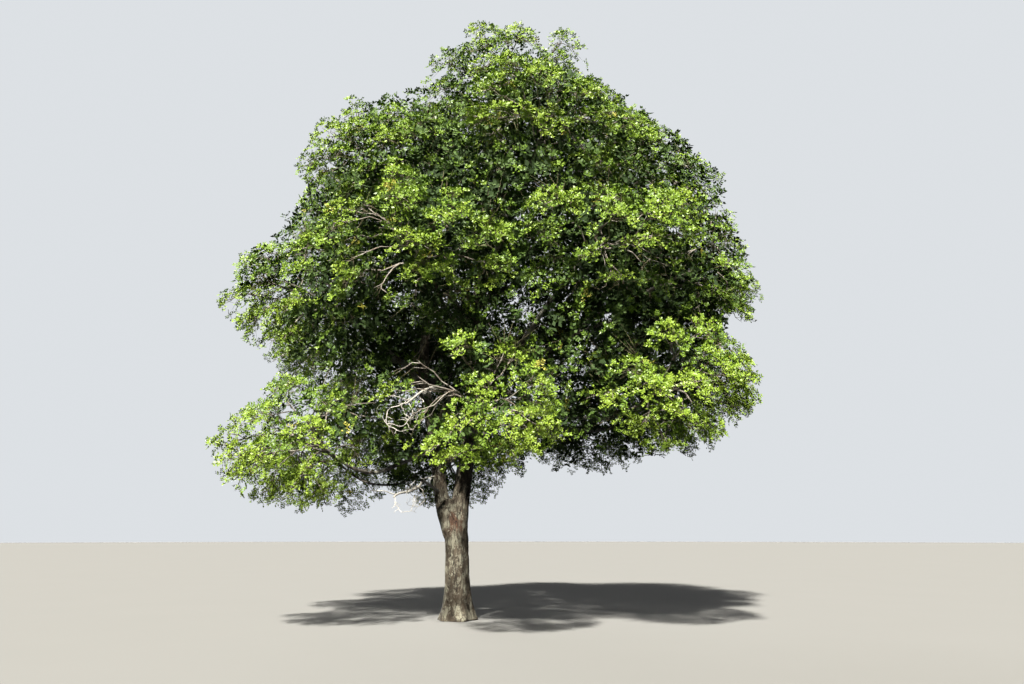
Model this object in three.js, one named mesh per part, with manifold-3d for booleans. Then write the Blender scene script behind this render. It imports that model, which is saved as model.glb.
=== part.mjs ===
// A sneezewood tree as it grows at the edge of a thicket: a stout trunk that forks low, crooked boughs,
// and a broad, full crown of separate masses of foliage with gaps between them.
// Millimetres, +Z up. The origin is the middle of the flat cut under the trunk, at ground level.
// +X is the open side that the crown leans to, and -Y is the front.
import * as THREE from "three";
import { mergeVertices } from "three/addons/utils/BufferGeometryUtils.js";
import Module from "manifold-3d";

const wasm = await Module();
wasm.setup();

const GAP = 0.3; // between two pieces that touch
const LEAF_SLIVER = 1.5; // detail of foliage smaller than this is smoothed away
const CLEARANCE = 25; // between foliage and a limb that it passes
const UP = new THREE.Vector3(0, 0, 1);
const nearest = new THREE.Vector3();
const degrees = THREE.MathUtils.degToRad;

// Crown
const CROWN_HALF_WIDTH = 5850; // in X
const CROWN_HALF_DEPTH = 5500; // in Y
const CROWN_HEART = 380; // X at which the boughs rise
// Tiers of foliage. The height is that of the middles of the masses, the slope raises those on the open side,
// the shift moves their ring towards it, and the reach is their share of the crown's half width.
// The first mass stands at the azimuth turn, in degrees.
const TIERS = [
  { name: "top", height: 10550, slope: 100, shift: 1300, reach: 0.27, count: 3, turn: 20 },
  { name: "upper", height: 8750, slope: 200, shift: 950, reach: 0.58, count: 6, turn: -20 },
  { name: "middle", height: 6400, slope: 300, shift: 950, reach: 0.71, count: 8, turn: 21 },
  { name: "skirt", height: 3850, slope: 500, shift: 950, reach: 0.7, count: 7, turn: 11 },
];

// Masses of foliage
const MASS_REACH = 1850; // from a mass's middle to its side
const MASS_SQUASH = 1.34; // its width over its height
const MASS_CLEARANCE = 12; // from the plane between two masses
const CORE_SHARE = 0.36; // of the mass, filled by its dense middle
const TWIGS = 9; // from the middle of one mass
const TWIG_RADIUS = 30;
const TWIG_START = 80; // from the mass's middle, inside its core
const SPRAY_LENGTH = 880;
const SPRAY_SIZES = [1, 0.86, 0.72, 0.6]; // tried in turn where there is less room
const SPRAY_WIDTH = 0.64; // of its length
const SPRAY_WIDEST = 0.45; // share of its length at which it is widest
const SPRAY_FOLD = 0.07; // height of its edges over its middle line, of its length
const SPRAY_LIFT = 0.7; // how far a ring of sprays faces up instead of out
const SPRAY_CUP = 0.25; // how far its sprays reach forwards
const SPRAY_SINK = 5; // behind the twig's middle line
const SPRAY_SPACING = 150; // between the middle lines of sprays on two twigs

// Trunk and stems
const TRUNK_RADIUS = 222; // at its narrowest
const COLUMN_HEIGHT = 2300; // where the column ends between the two stems
const STEM_START = 1500; // height inside the column at which the stems begin
const STEM_RINGS = 12;
const CUT_RING = 3; // of each stem, up to which it belongs to the trunk
const LEFT_STEM = { x: -70, lean: new THREE.Vector3(-0.5, 0.08, 1), radius: 152 };
const RIGHT_STEM = { x: -25, lean: new THREE.Vector3(0.08, -0.08, 1), radius: 178 };
const FLARE = 0.72; // extra radius at the ground, as a share
const FLARE_HEIGHT = 330;
const ROOT_LOBES = 5;
const LOBE_DEPTH = 0.16;

// Boughs: radius at the root and at the tip, sides, rings
const BOUGH_SIZES = {
  top: { root: 72, tip: 36, sides: 6, rings: 5 },
  upper: { root: 86, tip: 38, sides: 7, rings: 6 },
  middle: { root: 70, tip: 35, sides: 6, rings: 5 },
  skirt: { root: 62, tip: 32, sides: 6, rings: 5 },
};
// Dead limbs low on the front, bare of leaves, each from one of the stems, at a share of its length
const DEAD_LIMBS = [
  { name: "dead_limb_1", stem: 1, at: 0.31, end: new THREE.Vector3(-780, -2650, 3800), root: 46 },
  { name: "dead_limb_2", stem: 0, at: 0.15, end: new THREE.Vector3(-1050, -1850, 2250), root: 34 },
];
const DEAD_TWIGS = 4; // on one dead limb
const DEAD_TWIG_LENGTH = 620;
const CROOK = 0.035; // sideways wander of a limb, as a share of its span
const COLLAR = 0.22; // swelling where a bough leaves its parent
const ROOT_SPACING = 270; // between two boughs on one parent
const CLIMB = 0.45; // how far below its mass a bough starts, over the level distance between them
const BOWS = [0, 0.35, -0.35, 0.7, -0.7, 1.05, -1.05]; // sideways starts that a bough tries, to pass others
const BOUGH_ROOM = 60; // between two boughs
const ROOT_SHARE = 0.74; // a bough's root radius over its parent's radius, at most

// Numbers between low and high that are the same on every run
function seeded(seed) {
  let state = (seed * 2654435761) % 4294967296;
  const next = (low = 0, high = 1) => {
    state = (state * 1664525 + 1013904223) % 4294967296;
    return low + ((high - low) * state) / 4294967296;
  };
  next();
  next();
  return next;
}

// A three.js shape as a closed body
function solidOf(geometry) {
  return new wasm.Manifold(
    new wasm.Mesh({
      numProp: 3,
      vertProperties: geometry.attributes.position.array,
      triVerts: new Uint32Array(geometry.index.array),
    }),
  );
}

// A unit shape with its vertices merged, moved point by point
function shaped(geometry, place) {
  geometry.deleteAttribute("normal");
  geometry.deleteAttribute("uv");
  const merged = mergeVertices(geometry);
  const positions = merged.attributes.position;
  const vertex = new THREE.Vector3();
  for (let i = 0; i < positions.count; i += 1) {
    vertex.fromBufferAttribute(positions, i);
    const moved = place(vertex);
    positions.setXYZ(i, moved.x, moved.y, moved.z);
  }
  return merged;
}

// One tapering, slightly crooked limb
class Limb {
  constructor({ start, startWay, end, endWay, seed, crook = CROOK, spread = 1.15, ...sizes }) {
    Object.assign(this, { spread, ...sizes });
    this.span = start.distanceTo(end);
    const handle = this.span / 3;
    this.curve = new THREE.CubicBezierCurve3(
      start,
      start.clone().addScaledVector(startWay.clone().normalize(), handle),
      end.clone().addScaledVector(endWay.clone().normalize(), -handle),
      end,
    );
    const random = seeded(seed);
    const chord = end.clone().sub(start).normalize();
    this.sideA = new THREE.Vector3(chord.y, -chord.x, 0);
    if (this.sideA.length() < 0.05) this.sideA.set(1, 0, 0);
    this.sideA.normalize();
    this.sideB = chord.cross(this.sideA);
    this.wander = crook * this.span;
    this.phaseA = random(0, 2 * Math.PI);
    this.phaseB = random(0, 2 * Math.PI);
    const track = Array.from({ length: 17 }, (_, i) => this.pointAt(i / 16));
    this.lines = track.slice(1).map((point, i) => new THREE.Line3(track[i], point));
    this.radii = this.lines.map((_, i) => this.radiusAt((i + 0.5) / 16));
  }

  pointAt(t) {
    const window = Math.sin(Math.PI * t) ** 2 * this.wander;
    return this.curve
      .getPoint(t)
      .addScaledVector(this.sideA, window * Math.sin(9 * t + this.phaseA))
      .addScaledVector(this.sideB, window * Math.sin(7 * t + this.phaseB));
  }

  wayAt(t) {
    if (t <= 0 || t >= 1) return this.curve.getTangent(t);
    const step = Math.min(0.01, t, 1 - t);
    return this.pointAt(t + step).sub(this.pointAt(t - step)).normalize();
  }

  radiusAt(t) {
    const taper = this.tip + (this.root - this.tip) * (1 - t) ** 0.7;
    return taper * (1 + COLLAR * Math.exp(-((t * this.span) / (2.6 * this.root))));
  }

  // The least distance from a point to the limb's surface
  distanceTo(point) {
    let least = Infinity;
    this.lines.forEach((line, i) => {
      line.closestPointToPoint(point, true, nearest);
      least = Math.min(least, nearest.distanceTo(point) - this.radii[i]);
    });
    return least;
  }
}

// The ring places along a limb, closer together near its root
function ringsOf(limb) {
  const frames = [];
  let across = new THREE.Vector3(1, 0, 0);
  for (let i = 0; i <= limb.rings; i += 1) {
    const t = (i / limb.rings) ** limb.spread;
    const way = limb.wayAt(t);
    if (i === 0 && Math.abs(way.x) > 0.8) across = UP.clone();
    across = across.clone().addScaledVector(way, -across.dot(way)).normalize();
    frames.push({ t, way, middle: limb.pointAt(t), across, third: across.clone().cross(way) });
  }
  return frames;
}

// A cylinder bent along a limb, between two of its rings. Its radius varies along the limb and round it.
function bentCylinder(limb, { first = 0, last = limb.rings, lift = 0, radiusOf }) {
  const frames = ringsOf(limb);
  const count = last - first;
  return shaped(new THREE.CylinderGeometry(1, 1, 1, limb.sides, count), (v) => {
    const row = Math.round((v.y + 0.5) * count);
    const { t, way, middle, across, third } = frames[first + row];
    const radius = radiusOf(t, Math.atan2(v.z, v.x));
    return middle
      .clone()
      .addScaledVector(way, row === 0 ? lift : 0)
      .addScaledVector(across, v.x * radius)
      .addScaledVector(third, v.z * radius);
  });
}

function limbSolid(limb, { first, last, lift, grow = 0 } = {}) {
  return solidOf(bentCylinder(limb, { first, last, lift, radiusOf: (t) => limb.radiusAt(t) + grow }));
}

// The middles and sizes of the masses of foliage, tier by tier
function crownMasses() {
  const masses = [];
  TIERS.forEach((tier, row) => {
    for (let i = 0; i < tier.count; i += 1) {
      const seed = 100 * (row + 1) + i;
      const random = seeded(seed);
      const azimuth = degrees(tier.turn + (360 * i) / tier.count + random(-5, 5));
      const reach = tier.reach * random(0.95, 1.05);
      const middle = new THREE.Vector3(
        tier.shift + CROWN_HALF_WIDTH * reach * Math.cos(azimuth),
        CROWN_HALF_DEPTH * reach * Math.sin(azimuth),
        tier.height + tier.slope * Math.cos(azimuth) + random(-180, 180),
      );
      const mass = { name: `${tier.name}_foliage_${i + 1}`, tier, middle, azimuth, seed };
      mass.reach = MASS_REACH * random(0.94, 1.06);
      mass.squashed = squashed(middle);
      mass.stemLine = new THREE.Line3(entryOf(mass), middle);
      masses.push(mass);
    }
  });
  return masses;
}

// Heights stretched so that a mass's space is a ball
function squashed(point) {
  return new THREE.Vector3(point.x, point.y, point.z * MASS_SQUASH);
}

// Each mass keeps to its own space: its ball, up to the planes between it and its neighbours
function inSpace(point, mass, masses) {
  const here = squashed(point);
  const own = here.distanceToSquared(mass.squashed) - mass.reach ** 2;
  return (
    own < 0 &&
    masses.every((other) => {
      if (other === mass) return true;
      const theirs = here.distanceToSquared(other.squashed) - other.reach ** 2;
      return theirs - own > 2 * MASS_CLEARANCE * other.squashed.distanceTo(mass.squashed);
    })
  );
}

// The point on a mass's edge where its bough comes in, from the heart of the crown and below
function entryOf(mass) {
  const heart = new THREE.Vector3(CROWN_HEART, 0, mass.middle.z - 1900);
  const way = heart.sub(mass.middle);
  return mass.middle.clone().addScaledVector(way, (0.8 * mass.reach) / squashed(way).length());
}

// The places on thicker limbs from which a new bough could reach its mass, the easiest climb first
function rootsFor(entry, size, parents, taken) {
  const places = [];
  for (const parent of parents) {
    const lowest = parent.isStem ? parent.cut + 0.03 : 0.12;
    for (let t = lowest; t < 0.8; t += 0.02) {
      const point = parent.pointAt(t);
      if (taken.some((other) => other.distanceTo(point) < ROOT_SPACING)) continue;
      const reach = entry.clone().sub(point);
      const level = Math.hypot(reach.x, reach.y);
      const along = reach.clone().normalize().dot(parent.wayAt(t));
      const steep = Math.max(0, CLIMB * level - reach.z);
      const thin = Math.max(0, size.root / ROOT_SHARE - parent.radiusAt(t));
      const cost = reach.length() + 1.2 * steep + 2500 * Math.max(0, 0.3 - along) ** 2 + 90 * thin;
      places.push({ cost, parent, t, point });
    }
  }
  return places.sort((a, b) => a.cost - b.cost);
}

// How far a new limb stays from other limbs, and from the stems and middles of masses that aren't its own
function roomOf(limb, mass, others, masses) {
  let least = Infinity;
  for (let i = 0; i <= 20; i += 1) {
    const point = limb.pointAt(i / 20);
    const radius = limb.radiusAt(i / 20);
    for (const other of others) least = Math.min(least, other.distanceTo(point) - radius);
    for (const other of masses) {
      if (other === mass) continue;
      other.stemLine.closestPointToPoint(point, true, nearest);
      least = Math.min(least, nearest.distanceTo(point) - radius - 40);
      const core = squashed(point).distanceTo(other.squashed) - CORE_SHARE * other.reach;
      least = Math.min(least, core - radius);
    }
  }
  return least;
}

function stemTo(mass, { x, lean, radius }, name) {
  const end = mass.stemLine.start;
  const limb = new Limb({
    name,
    start: new THREE.Vector3(x, 0, STEM_START),
    startWay: lean,
    end,
    endWay: mass.middle.clone().sub(end).add(new THREE.Vector3(0, 0, 900)),
    root: radius,
    tip: 46,
    sides: 10,
    rings: STEM_RINGS,
    seed: mass.seed,
    crook: 0.02,
  });
  return Object.assign(limb, { isStem: true, cut: (CUT_RING / STEM_RINGS) ** limb.spread, mass });
}

function boughTo(mass, limbs, bare, masses, taken) {
  const size = BOUGH_SIZES[mass.tier.name];
  const end = mass.stemLine.start;
  let best = { room: -Infinity };
  for (const { parent, t, point } of rootsFor(end, size, limbs, taken).slice(0, 60)) {
    const others = [...limbs.filter((other) => other !== parent), ...bare];
    const root = Math.min(size.root, ROOT_SHARE * parent.radiusAt(t));
    const reach = end.clone().sub(point).normalize();
    const side = reach.clone().cross(UP).normalize();
    const endWay = mass.middle.clone().sub(end).normalize().addScaledVector(reach, 0.8);
    for (const bow of BOWS) {
      const startWay = parent.wayAt(t).multiplyScalar(0.45).add(reach).addScaledVector(side, bow);
      const limb = new Limb({
        ...size,
        root,
        tip: Math.min(size.tip, 0.7 * root),
        name: mass.name.replace("foliage", "bough"),
        start: point,
        startWay,
        end,
        endWay,
        seed: mass.seed,
      });
      const room = roomOf(limb, mass, others, masses);
      if (room > best.room) best = { limb, parent, point, room };
      if (room > BOUGH_ROOM) break;
    }
    if (best.room > BOUGH_ROOM) break;
  }
  taken.push(best.point);
  return Object.assign(best.limb, { parent: best.parent, room: best.room, mass });
}

// A bare limb with short side twigs
function growDeadLimb({ name, stem, at, end, root }, index, stems) {
  const parent = stems[stem];
  const start = parent.pointAt(at);
  const reach = end.clone().sub(start).normalize();
  const limb = new Limb({
    name,
    start,
    startWay: reach.clone().addScaledVector(UP, 0.5),
    end,
    endWay: reach.clone().addScaledVector(UP, -0.35),
    root,
    tip: 14,
    sides: 6,
    rings: 7,
    seed: 900 + index,
    crook: 0.06,
  });
  const random = seeded(950 + index);
  const twigs = Array.from({ length: DEAD_TWIGS }, (_, k) => {
    const t = 0.42 + (0.5 * k) / (DEAD_TWIGS - 1);
    const side = reach.clone().cross(UP).multiplyScalar(k % 2 ? 1 : -1);
    const way = limb.wayAt(t).add(side).addScaledVector(UP, random(-0.5, 0.7)).normalize();
    return new Limb({
      name: `${name}_twig_${k}`,
      start: limb.pointAt(t),
      startWay: way,
      end: limb.pointAt(t).addScaledVector(way, DEAD_TWIG_LENGTH * random(0.55, 1)),
      endWay: way.clone().addScaledVector(UP, random(-0.6, 0.2)),
      root: 0.62 * limb.radiusAt(t),
      tip: 7,
      sides: 4,
      rings: 3,
      seed: 970 + 10 * index + k,
      crook: 0.05,
    });
  });
  return Object.assign(limb, { parent, twigs });
}

// All limbs, from the stems outwards
function growLimbs(masses) {
  const tier = (name) => masses.filter((mass) => mass.tier.name === name);
  const byX = (a, b) => a.middle.x - b.middle.x;
  const left = tier("upper").sort(byX)[0];
  const right = tier("top").sort(byX).at(-1);
  const stems = [stemTo(left, LEFT_STEM, "left_stem"), stemTo(right, RIGHT_STEM, "right_stem")];
  const dead = DEAD_LIMBS.map((sizes, index) => growDeadLimb(sizes, index, stems));
  const bare = dead.flatMap((limb) => [limb, ...limb.twigs]);
  const limbs = [...stems];
  const taken = dead.map((limb) => limb.pointAt(0));
  for (const mass of masses) {
    if (mass !== left && mass !== right) limbs.push(boughTo(mass, limbs, bare, masses, taken));
  }
  return { stems, limbs, dead, bare };
}

// The column with its root flare, and the first part of both stems
function trunkSolid(stems, grow = 0) {
  const column = new Limb({
    name: "column",
    start: new THREE.Vector3(0, 0, 0),
    startWay: UP,
    end: new THREE.Vector3(-95, 0, COLUMN_HEIGHT),
    endWay: new THREE.Vector3(-0.1, 0, 1),
    root: TRUNK_RADIUS,
    tip: TRUNK_RADIUS,
    sides: 20,
    rings: 10,
    seed: 7,
    crook: 0,
    spread: 1.5,
  });
  const radiusOf = (t, angle) => {
    const height = t * COLUMN_HEIGHT;
    const foot = Math.exp(-height / FLARE_HEIGHT);
    const lobes = Math.cos(ROOT_LOBES * angle + 0.6) + 0.5 * Math.cos(3 * angle + 2);
    const flute = 0.035 * Math.cos(4 * angle + 1.5 * t);
    return grow + TRUNK_RADIUS * (1 + FLARE * foot + LOBE_DEPTH * foot * lobes + flute);
  };
  const arms = stems.map((stem) => limbSolid(stem, { last: CUT_RING, grow }));
  return largest(wasm.Manifold.union([solidOf(bentCylinder(column, { radiusOf })), ...arms]));
}

// A bough's solid begins at its parent's surface
function boughSolid(limb) {
  if (limb.isStem) return limbSolid(limb, { first: CUT_RING, lift: GAP });
  return largest(limbSolid(limb).subtract(limbSolid(limb.parent, { grow: GAP })));
}

function deadLimbSolid(limb, stems) {
  const whole = wasm.Manifold.union([limbSolid(limb), ...limb.twigs.map((twig) => limbSolid(twig))]);
  return largest(whole.subtract(limbSolid(limb.parent, { grow: GAP })).subtract(trunkSolid(stems, GAP)));
}

// The main body of a solid, without loose scraps and slivers
function largest(solid, sliver = 0.9 * GAP) {
  return solid
    .simplify(sliver)
    .decompose()
    .sort((a, b) => b.volume() - a.volume())[0];
}

// True if a limb or blade along a line keeps off the limbs. Its half width is greatest in the middle.
function clearsLimbs(from, to, halfWidth, limbs) {
  const steps = 7;
  return Array.from({ length: steps + 1 }, (_, i) => i / steps).every((share) => {
    const point = from.clone().lerp(to, share);
    const room = CLEARANCE + halfWidth * Math.sin(Math.PI * share);
    return limbs.every((limb) => limb.distanceTo(point) > room);
  });
}

// The ways in which the twigs leave a mass's middle: a spiral over all but the side that the bough comes from
function twigWays(stemWay, random) {
  const golden = Math.PI * (3 - Math.sqrt(5));
  const turn = new THREE.Quaternion().setFromUnitVectors(UP, stemWay);
  const phase = random(0, 2 * Math.PI);
  return Array.from({ length: TWIGS }, (_, k) => {
    const cosine = 1 - (1.62 * (k + 0.5)) / TWIGS;
    const sine = Math.sqrt(1 - cosine * cosine);
    const angle = phase + k * golden;
    return new THREE.Vector3(sine * Math.cos(angle), sine * Math.sin(angle), cosine).applyQuaternion(turn);
  });
}

// The corners of a spray of leaves: one blade, folded along its middle, that starts inside its twig
function sprayCorners({ root, way, face, length }) {
  const side = way.clone().cross(face).normalize();
  const along = (share) => root.clone().addScaledVector(way, length * share);
  const middle = along(SPRAY_WIDEST).addScaledVector(face, length * SPRAY_FOLD);
  const edge = (sign) => middle.clone().addScaledVector(side, (sign * length * SPRAY_WIDTH) / 2);
  return { root, tip: along(1), right: edge(1), left: edge(-1) };
}

function spraySolid(spray) {
  const { root, tip, left, right } = sprayCorners(spray);
  return solidOf(
    shaped(new THREE.TetrahedronGeometry(1), (v) => {
      if (v.z > 0) return v.x > 0 ? tip : root;
      return v.x > 0 ? left : right;
    }),
  );
}

// True if a spray has its own place among those already set
function standsApart({ root, way, length }, sprays) {
  return sprays.every(({ middle }) => {
    for (let i = 2; i <= 6; i += 1) {
      const point = root.clone().addScaledVector(way, (length * i) / 6);
      middle.closestPointToPoint(point, true, nearest);
      if (nearest.distanceTo(point) < SPRAY_SPACING) return false;
    }
    return true;
  });
}

// A ring of sprays at a twig's end, facing outwards and up, each through one of the twig's flat sides
function rosette(twig, out, random, { mass, masses, limbs, sprays }) {
  const face = out.clone().addScaledVector(UP, SPRAY_LIFT).normalize();
  const { across, third } = ringsOf(twig).at(-1);
  const kept = [];
  for (let k = 0; k < twig.sides; k += 1) {
    const angle = (2 * Math.PI * (k + 0.5)) / twig.sides + random(-0.12, 0.12);
    const way = across.clone().multiplyScalar(Math.sin(angle)).addScaledVector(third, Math.cos(angle));
    way.addScaledVector(face, -way.dot(face)).normalize();
    way.addScaledVector(face, random(-0.05, SPRAY_CUP)).normalize();
    const root = twig.pointAt(1 - 0.03 * (k + 1)).addScaledVector(way, -SPRAY_SINK);
    for (const size of SPRAY_SIZES) {
      const spray = { root, way, face, length: size * SPRAY_LENGTH };
      const corners = sprayCorners(spray);
      if (!Object.values(corners).every((corner) => inSpace(corner, mass, masses))) continue;
      if (!clearsLimbs(root, corners.tip, (spray.length * SPRAY_WIDTH) / 2, limbs)) continue;
      if (!standsApart(spray, sprays)) continue;
      kept.push({ ...spray, middle: new THREE.Line3(root, corners.tip) });
      break;
    }
  }
  return kept;
}

// The dense middle of a mass, drawn in wherever a neighbour or a limb is near
function coreSolid(mass, masses, limbs) {
  const random = seeded(mass.seed + 5000);
  const corner = (v) => {
    let share = CORE_SHARE * random(0.86, 1.14);
    let point = null;
    for (let i = 0; i < 12; i += 1) {
      const reach = mass.reach * share;
      point = new THREE.Vector3(v.x, v.y, v.z / MASS_SQUASH).multiplyScalar(reach).add(mass.middle);
      const free = limbs.every((limb) => limb.distanceTo(point) > 3 * CLEARANCE);
      if (free && inSpace(point, mass, masses)) break;
      share *= 0.88;
    }
    return point;
  };
  return solidOf(shaped(new THREE.OctahedronGeometry(1, 1), corner));
}

// One mass of foliage: a stem from its bough's tip, a dense middle, twigs, and sprays of leaves on the twigs
function foliageSolid(bough, masses, limbs) {
  const { mass } = bough;
  const random = seeded(mass.seed + 3000);
  const straight = { sides: 3, rings: 1, seed: mass.seed, crook: 0 };
  const tipWay = bough.wayAt(1);
  const stem = new Limb({
    ...straight,
    start: bough.pointAt(1).addScaledVector(tipWay, GAP),
    startWay: tipWay,
    end: mass.middle,
    endWay: mass.middle.clone().sub(bough.pointAt(1)),
    root: bough.tip * 0.8,
    tip: bough.tip * 0.6,
  });
  const pieces = [limbSolid(stem), coreSolid(mass, masses, limbs)];
  const sprays = [];
  for (const way of twigWays(stem.wayAt(1), random)) {
    const length = (random(0.56, 0.72) * mass.reach) / squashed(way).length();
    const twig = new Limb({
      ...straight,
      start: mass.middle.clone().addScaledVector(way, TWIG_START),
      startWay: way,
      end: mass.middle.clone().addScaledVector(way, length),
      endWay: way,
      root: TWIG_RADIUS,
      tip: TWIG_RADIUS - 4,
    });
    if (!inSpace(twig.pointAt(1), mass, masses)) continue;
    if (!clearsLimbs(twig.pointAt(0), twig.pointAt(1), TWIG_RADIUS, limbs)) continue;
    const kept = rosette(twig, way, random, { mass, masses, limbs, sprays });
    if (kept.length) pieces.push(limbSolid(twig), ...kept.map(spraySolid));
    sprays.push(...kept);
  }
  return largest(wasm.Manifold.union(pieces), LEAF_SLIVER);
}

const BARK = new THREE.MeshStandardMaterial({ color: 0x7d6f60, roughness: 0.92, metalness: 0 });
const BOUGH_BARK = new THREE.MeshStandardMaterial({ color: 0x989184, roughness: 0.9, metalness: 0 });
const DEAD_WOOD = new THREE.MeshStandardMaterial({ color: 0xb5aea2, roughness: 0.95, metalness: 0 });
const LEAF = new THREE.MeshStandardMaterial({ color: 0x7f9c35, roughness: 0.6, metalness: 0 });

function meshOf(name, solid, material) {
  const { numProp, vertProperties, triVerts } = solid.getMesh();
  const geometry = new THREE.BufferGeometry()
    .setAttribute("position", new THREE.BufferAttribute(new Float32Array(vertProperties), numProp))
    .setIndex(new THREE.BufferAttribute(new Uint32Array(triVerts), 1));
  geometry.computeVertexNormals();
  const mesh = new THREE.Mesh(geometry, material);
  mesh.name = name;
  return mesh;
}

const masses = crownMasses();
const { stems, limbs, dead, bare } = growLimbs(masses);
const obstacles = [...limbs, ...bare];
const tree = new THREE.Group();
tree.add(meshOf("trunk", trunkSolid(stems), BARK));
for (const limb of limbs) tree.add(meshOf(limb.name, boughSolid(limb), BOUGH_BARK));
for (const limb of dead) tree.add(meshOf(limb.name, deadLimbSolid(limb, stems), DEAD_WOOD));
for (const limb of limbs) tree.add(meshOf(limb.mass.name, foliageSolid(limb, masses, obstacles), LEAF));

export default tree;
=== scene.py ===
"""A sneezewood tree: its bark, bare limbs, twigs and leaves, built on the frame's solids.

The limbs and the spaces of the masses follow the same rule as the solids. The rule works in millimetres,
and the meshes are in metres. +Z is up, the open side of the crown is +X and the front is -Y.
"""

import itertools
import logging
import math
from collections.abc import Sequence
from dataclasses import dataclass, field, replace
from enum import Enum

import bpy
import numpy as np
from mathutils import Matrix, Vector


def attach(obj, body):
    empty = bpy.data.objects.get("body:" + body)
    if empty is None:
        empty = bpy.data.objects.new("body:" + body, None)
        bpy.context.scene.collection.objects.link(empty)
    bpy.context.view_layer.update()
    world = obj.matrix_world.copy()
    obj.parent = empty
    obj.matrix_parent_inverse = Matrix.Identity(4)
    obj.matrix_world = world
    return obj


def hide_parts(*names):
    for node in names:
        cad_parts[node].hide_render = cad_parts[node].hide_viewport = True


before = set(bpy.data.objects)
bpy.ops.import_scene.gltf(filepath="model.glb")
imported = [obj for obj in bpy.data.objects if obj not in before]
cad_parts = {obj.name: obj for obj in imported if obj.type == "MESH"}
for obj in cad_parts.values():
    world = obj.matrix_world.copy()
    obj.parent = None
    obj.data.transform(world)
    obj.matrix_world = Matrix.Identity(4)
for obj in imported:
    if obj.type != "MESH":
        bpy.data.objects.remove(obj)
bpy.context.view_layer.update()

LOG = logging.getLogger("sneezewood")
Array = np.ndarray
Colour = tuple[float, float, float]
Place = tuple[float, float, float]

MM = 0.001
UP = np.array([0.0, 0.0, 1.0])
GOLDEN = math.pi * (3 - math.sqrt(5))
ANY_TURN = 6.3  # a little over a whole turn, in radians

# The crown, in millimetres

CROWN_HALF_WIDTH = 5850.0
CROWN_HALF_DEPTH = 5500.0
CROWN_HEART = 380.0  # X at which the boughs rise
CROWN_MIDDLE = np.array([950.0, 0.0, 6600.0])
CROWN_SIZE = np.array([5400.0, 5200.0, 5100.0])
MASS_REACH = 1850.0  # from a mass's middle to its side
MASS_SQUASH = 1.34  # its width over its height
MASS_CLEARANCE = 12.0  # from the plane between two masses
ENTRY_DROP = 1900.0  # from a mass's middle down to where its bough comes from
ENTRY_SHARE = 0.8  # of the way from a mass's middle to its edge, where its bough ends
CORE_SHARE = 0.36  # of the mass, which other masses' boughs stay out of
CLEARANCE = 25.0  # between foliage and a limb that it passes
TWIGS = 9  # from the middle of one mass
TWIG_RADIUS = 30.0
TWIG_START = 80.0  # from the mass's middle
TWIG_REACH = (0.56, 0.72)  # shares of the mass's, from the shortest to the longest
TWIG_FAN = 1.62  # difference of cosines between straight on and the last way
TWIG_FEET = (0.55, 0.4)  # share of the stem at the first foot, and from there to the last
TWIG_ROOT = 0.62  # of the solids' twig radius
TWIG_TIP = 9.0
TWIG_CROOK = 0.05
TURN_PLAY = 5.0  # of a mass round the crown, in degrees
REACH_PLAY = 0.05  # and as a share of how far out it is
HEIGHT_PLAY = 180.0
SIZE_PLAY = 0.06

# The trunk and its two stems

TRUNK_RADIUS = 222.0  # at its narrowest
COLUMN_HEIGHT = 2300.0  # where the column ends between the two stems
COLUMN_TOP = -95.0  # X of its middle line there
COLUMN_LEAN = (-0.1, 0, 1)
STEM_START = 1500.0  # height inside the column at which the stems begin
STEM_CUT = (3 / 12) ** 1.15  # share of a stem up to which it belongs to the trunk
STEM_TIP = 46.0
STEM_CROOK = 0.02
STEM_RISE = 900.0  # how much more upright a stem ends than its mass's own stem
FLARE = 0.72  # extra radius at the ground, as a share
FLARE_HEIGHT = 330.0
ROOT_LOBES = 5
LOBE_DEPTH = 0.16
FLUTE_DEPTH = 0.035

# All limbs

CROOK = 0.035  # sideways wander of a limb, as a share of its span
WANDER_A = 9  # waves of it, to one side and to the other
WANDER_B = 7
TAPER = 0.7
COLLAR = 0.22  # swelling where a bough leaves its parent
COLLAR_REACH = 2.6  # of it along the limb, in radii of the root
TRACK = 16  # straight lines that stand for one limb

# The places of the boughs

ROOT_SPACING = 270.0  # between two boughs on one parent
ROOT_SHARE = 0.74  # a bough's root radius over its parent's radius, at most
LOWEST_ROOT = 0.12  # share of a bough's length from which others may leave it
STEM_MARGIN = 0.03  # the same on a stem, past its cut
HIGHEST_ROOT = 0.8
ROOT_STEP = 0.02
ROOTS_TRIED = 60
CLIMB = 0.45  # how far below its mass a bough starts, over the level distance between them
CLIMB_COST = 1.2
LEAST_BEND = 0.3  # cosine to its parent below which a bough leaves too sharply
BEND_COST = 2500.0
THIN_COST = 90.0
BOWS = (0, 0.35, -0.35, 0.7, -0.7, 1.05, -1.05)  # sideways starts that a bough tries, to pass others
PARENT_PULL = 0.45  # how far a bough first follows its parent
END_PULL = 0.8  # how far it ends in line with its own length
TIP_SHARE = 0.7  # of its root radius, at most
BOUGH_ROOM = 60.0  # between two boughs
MASS_STEM_ROOM = 40.0  # between a bough and another mass's stem
ROOM_STEPS = 20

# The dead limbs

DEAD_TIP = 14.0
DEAD_CROOK = 0.06
DEAD_RISE = 0.5
DEAD_DROOP = 0.35
DEAD_TWIGS = 4
DEAD_TWIG_LENGTH = 620.0
DEAD_TWIG_FIRST = 0.42  # share of the limb's length at the first one
DEAD_TWIG_RUN = 0.5  # share from the first to the last
DEAD_TWIG_ROOT = 0.62  # of the limb's radius
DEAD_TWIG_TIP = 7.0
DEAD_TWIG_CROOK = 0.05

# First numbers of the seeds

COLUMN_SEED = 7
TRUNK_BARK_SEED = 11
DEAD_SEED = 900
DEAD_WAYS_SEED = 950
DEAD_TWIG_SEED = 970
TWIG_SEED = 3000
FOLIAGE_SEED = 2718


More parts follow.
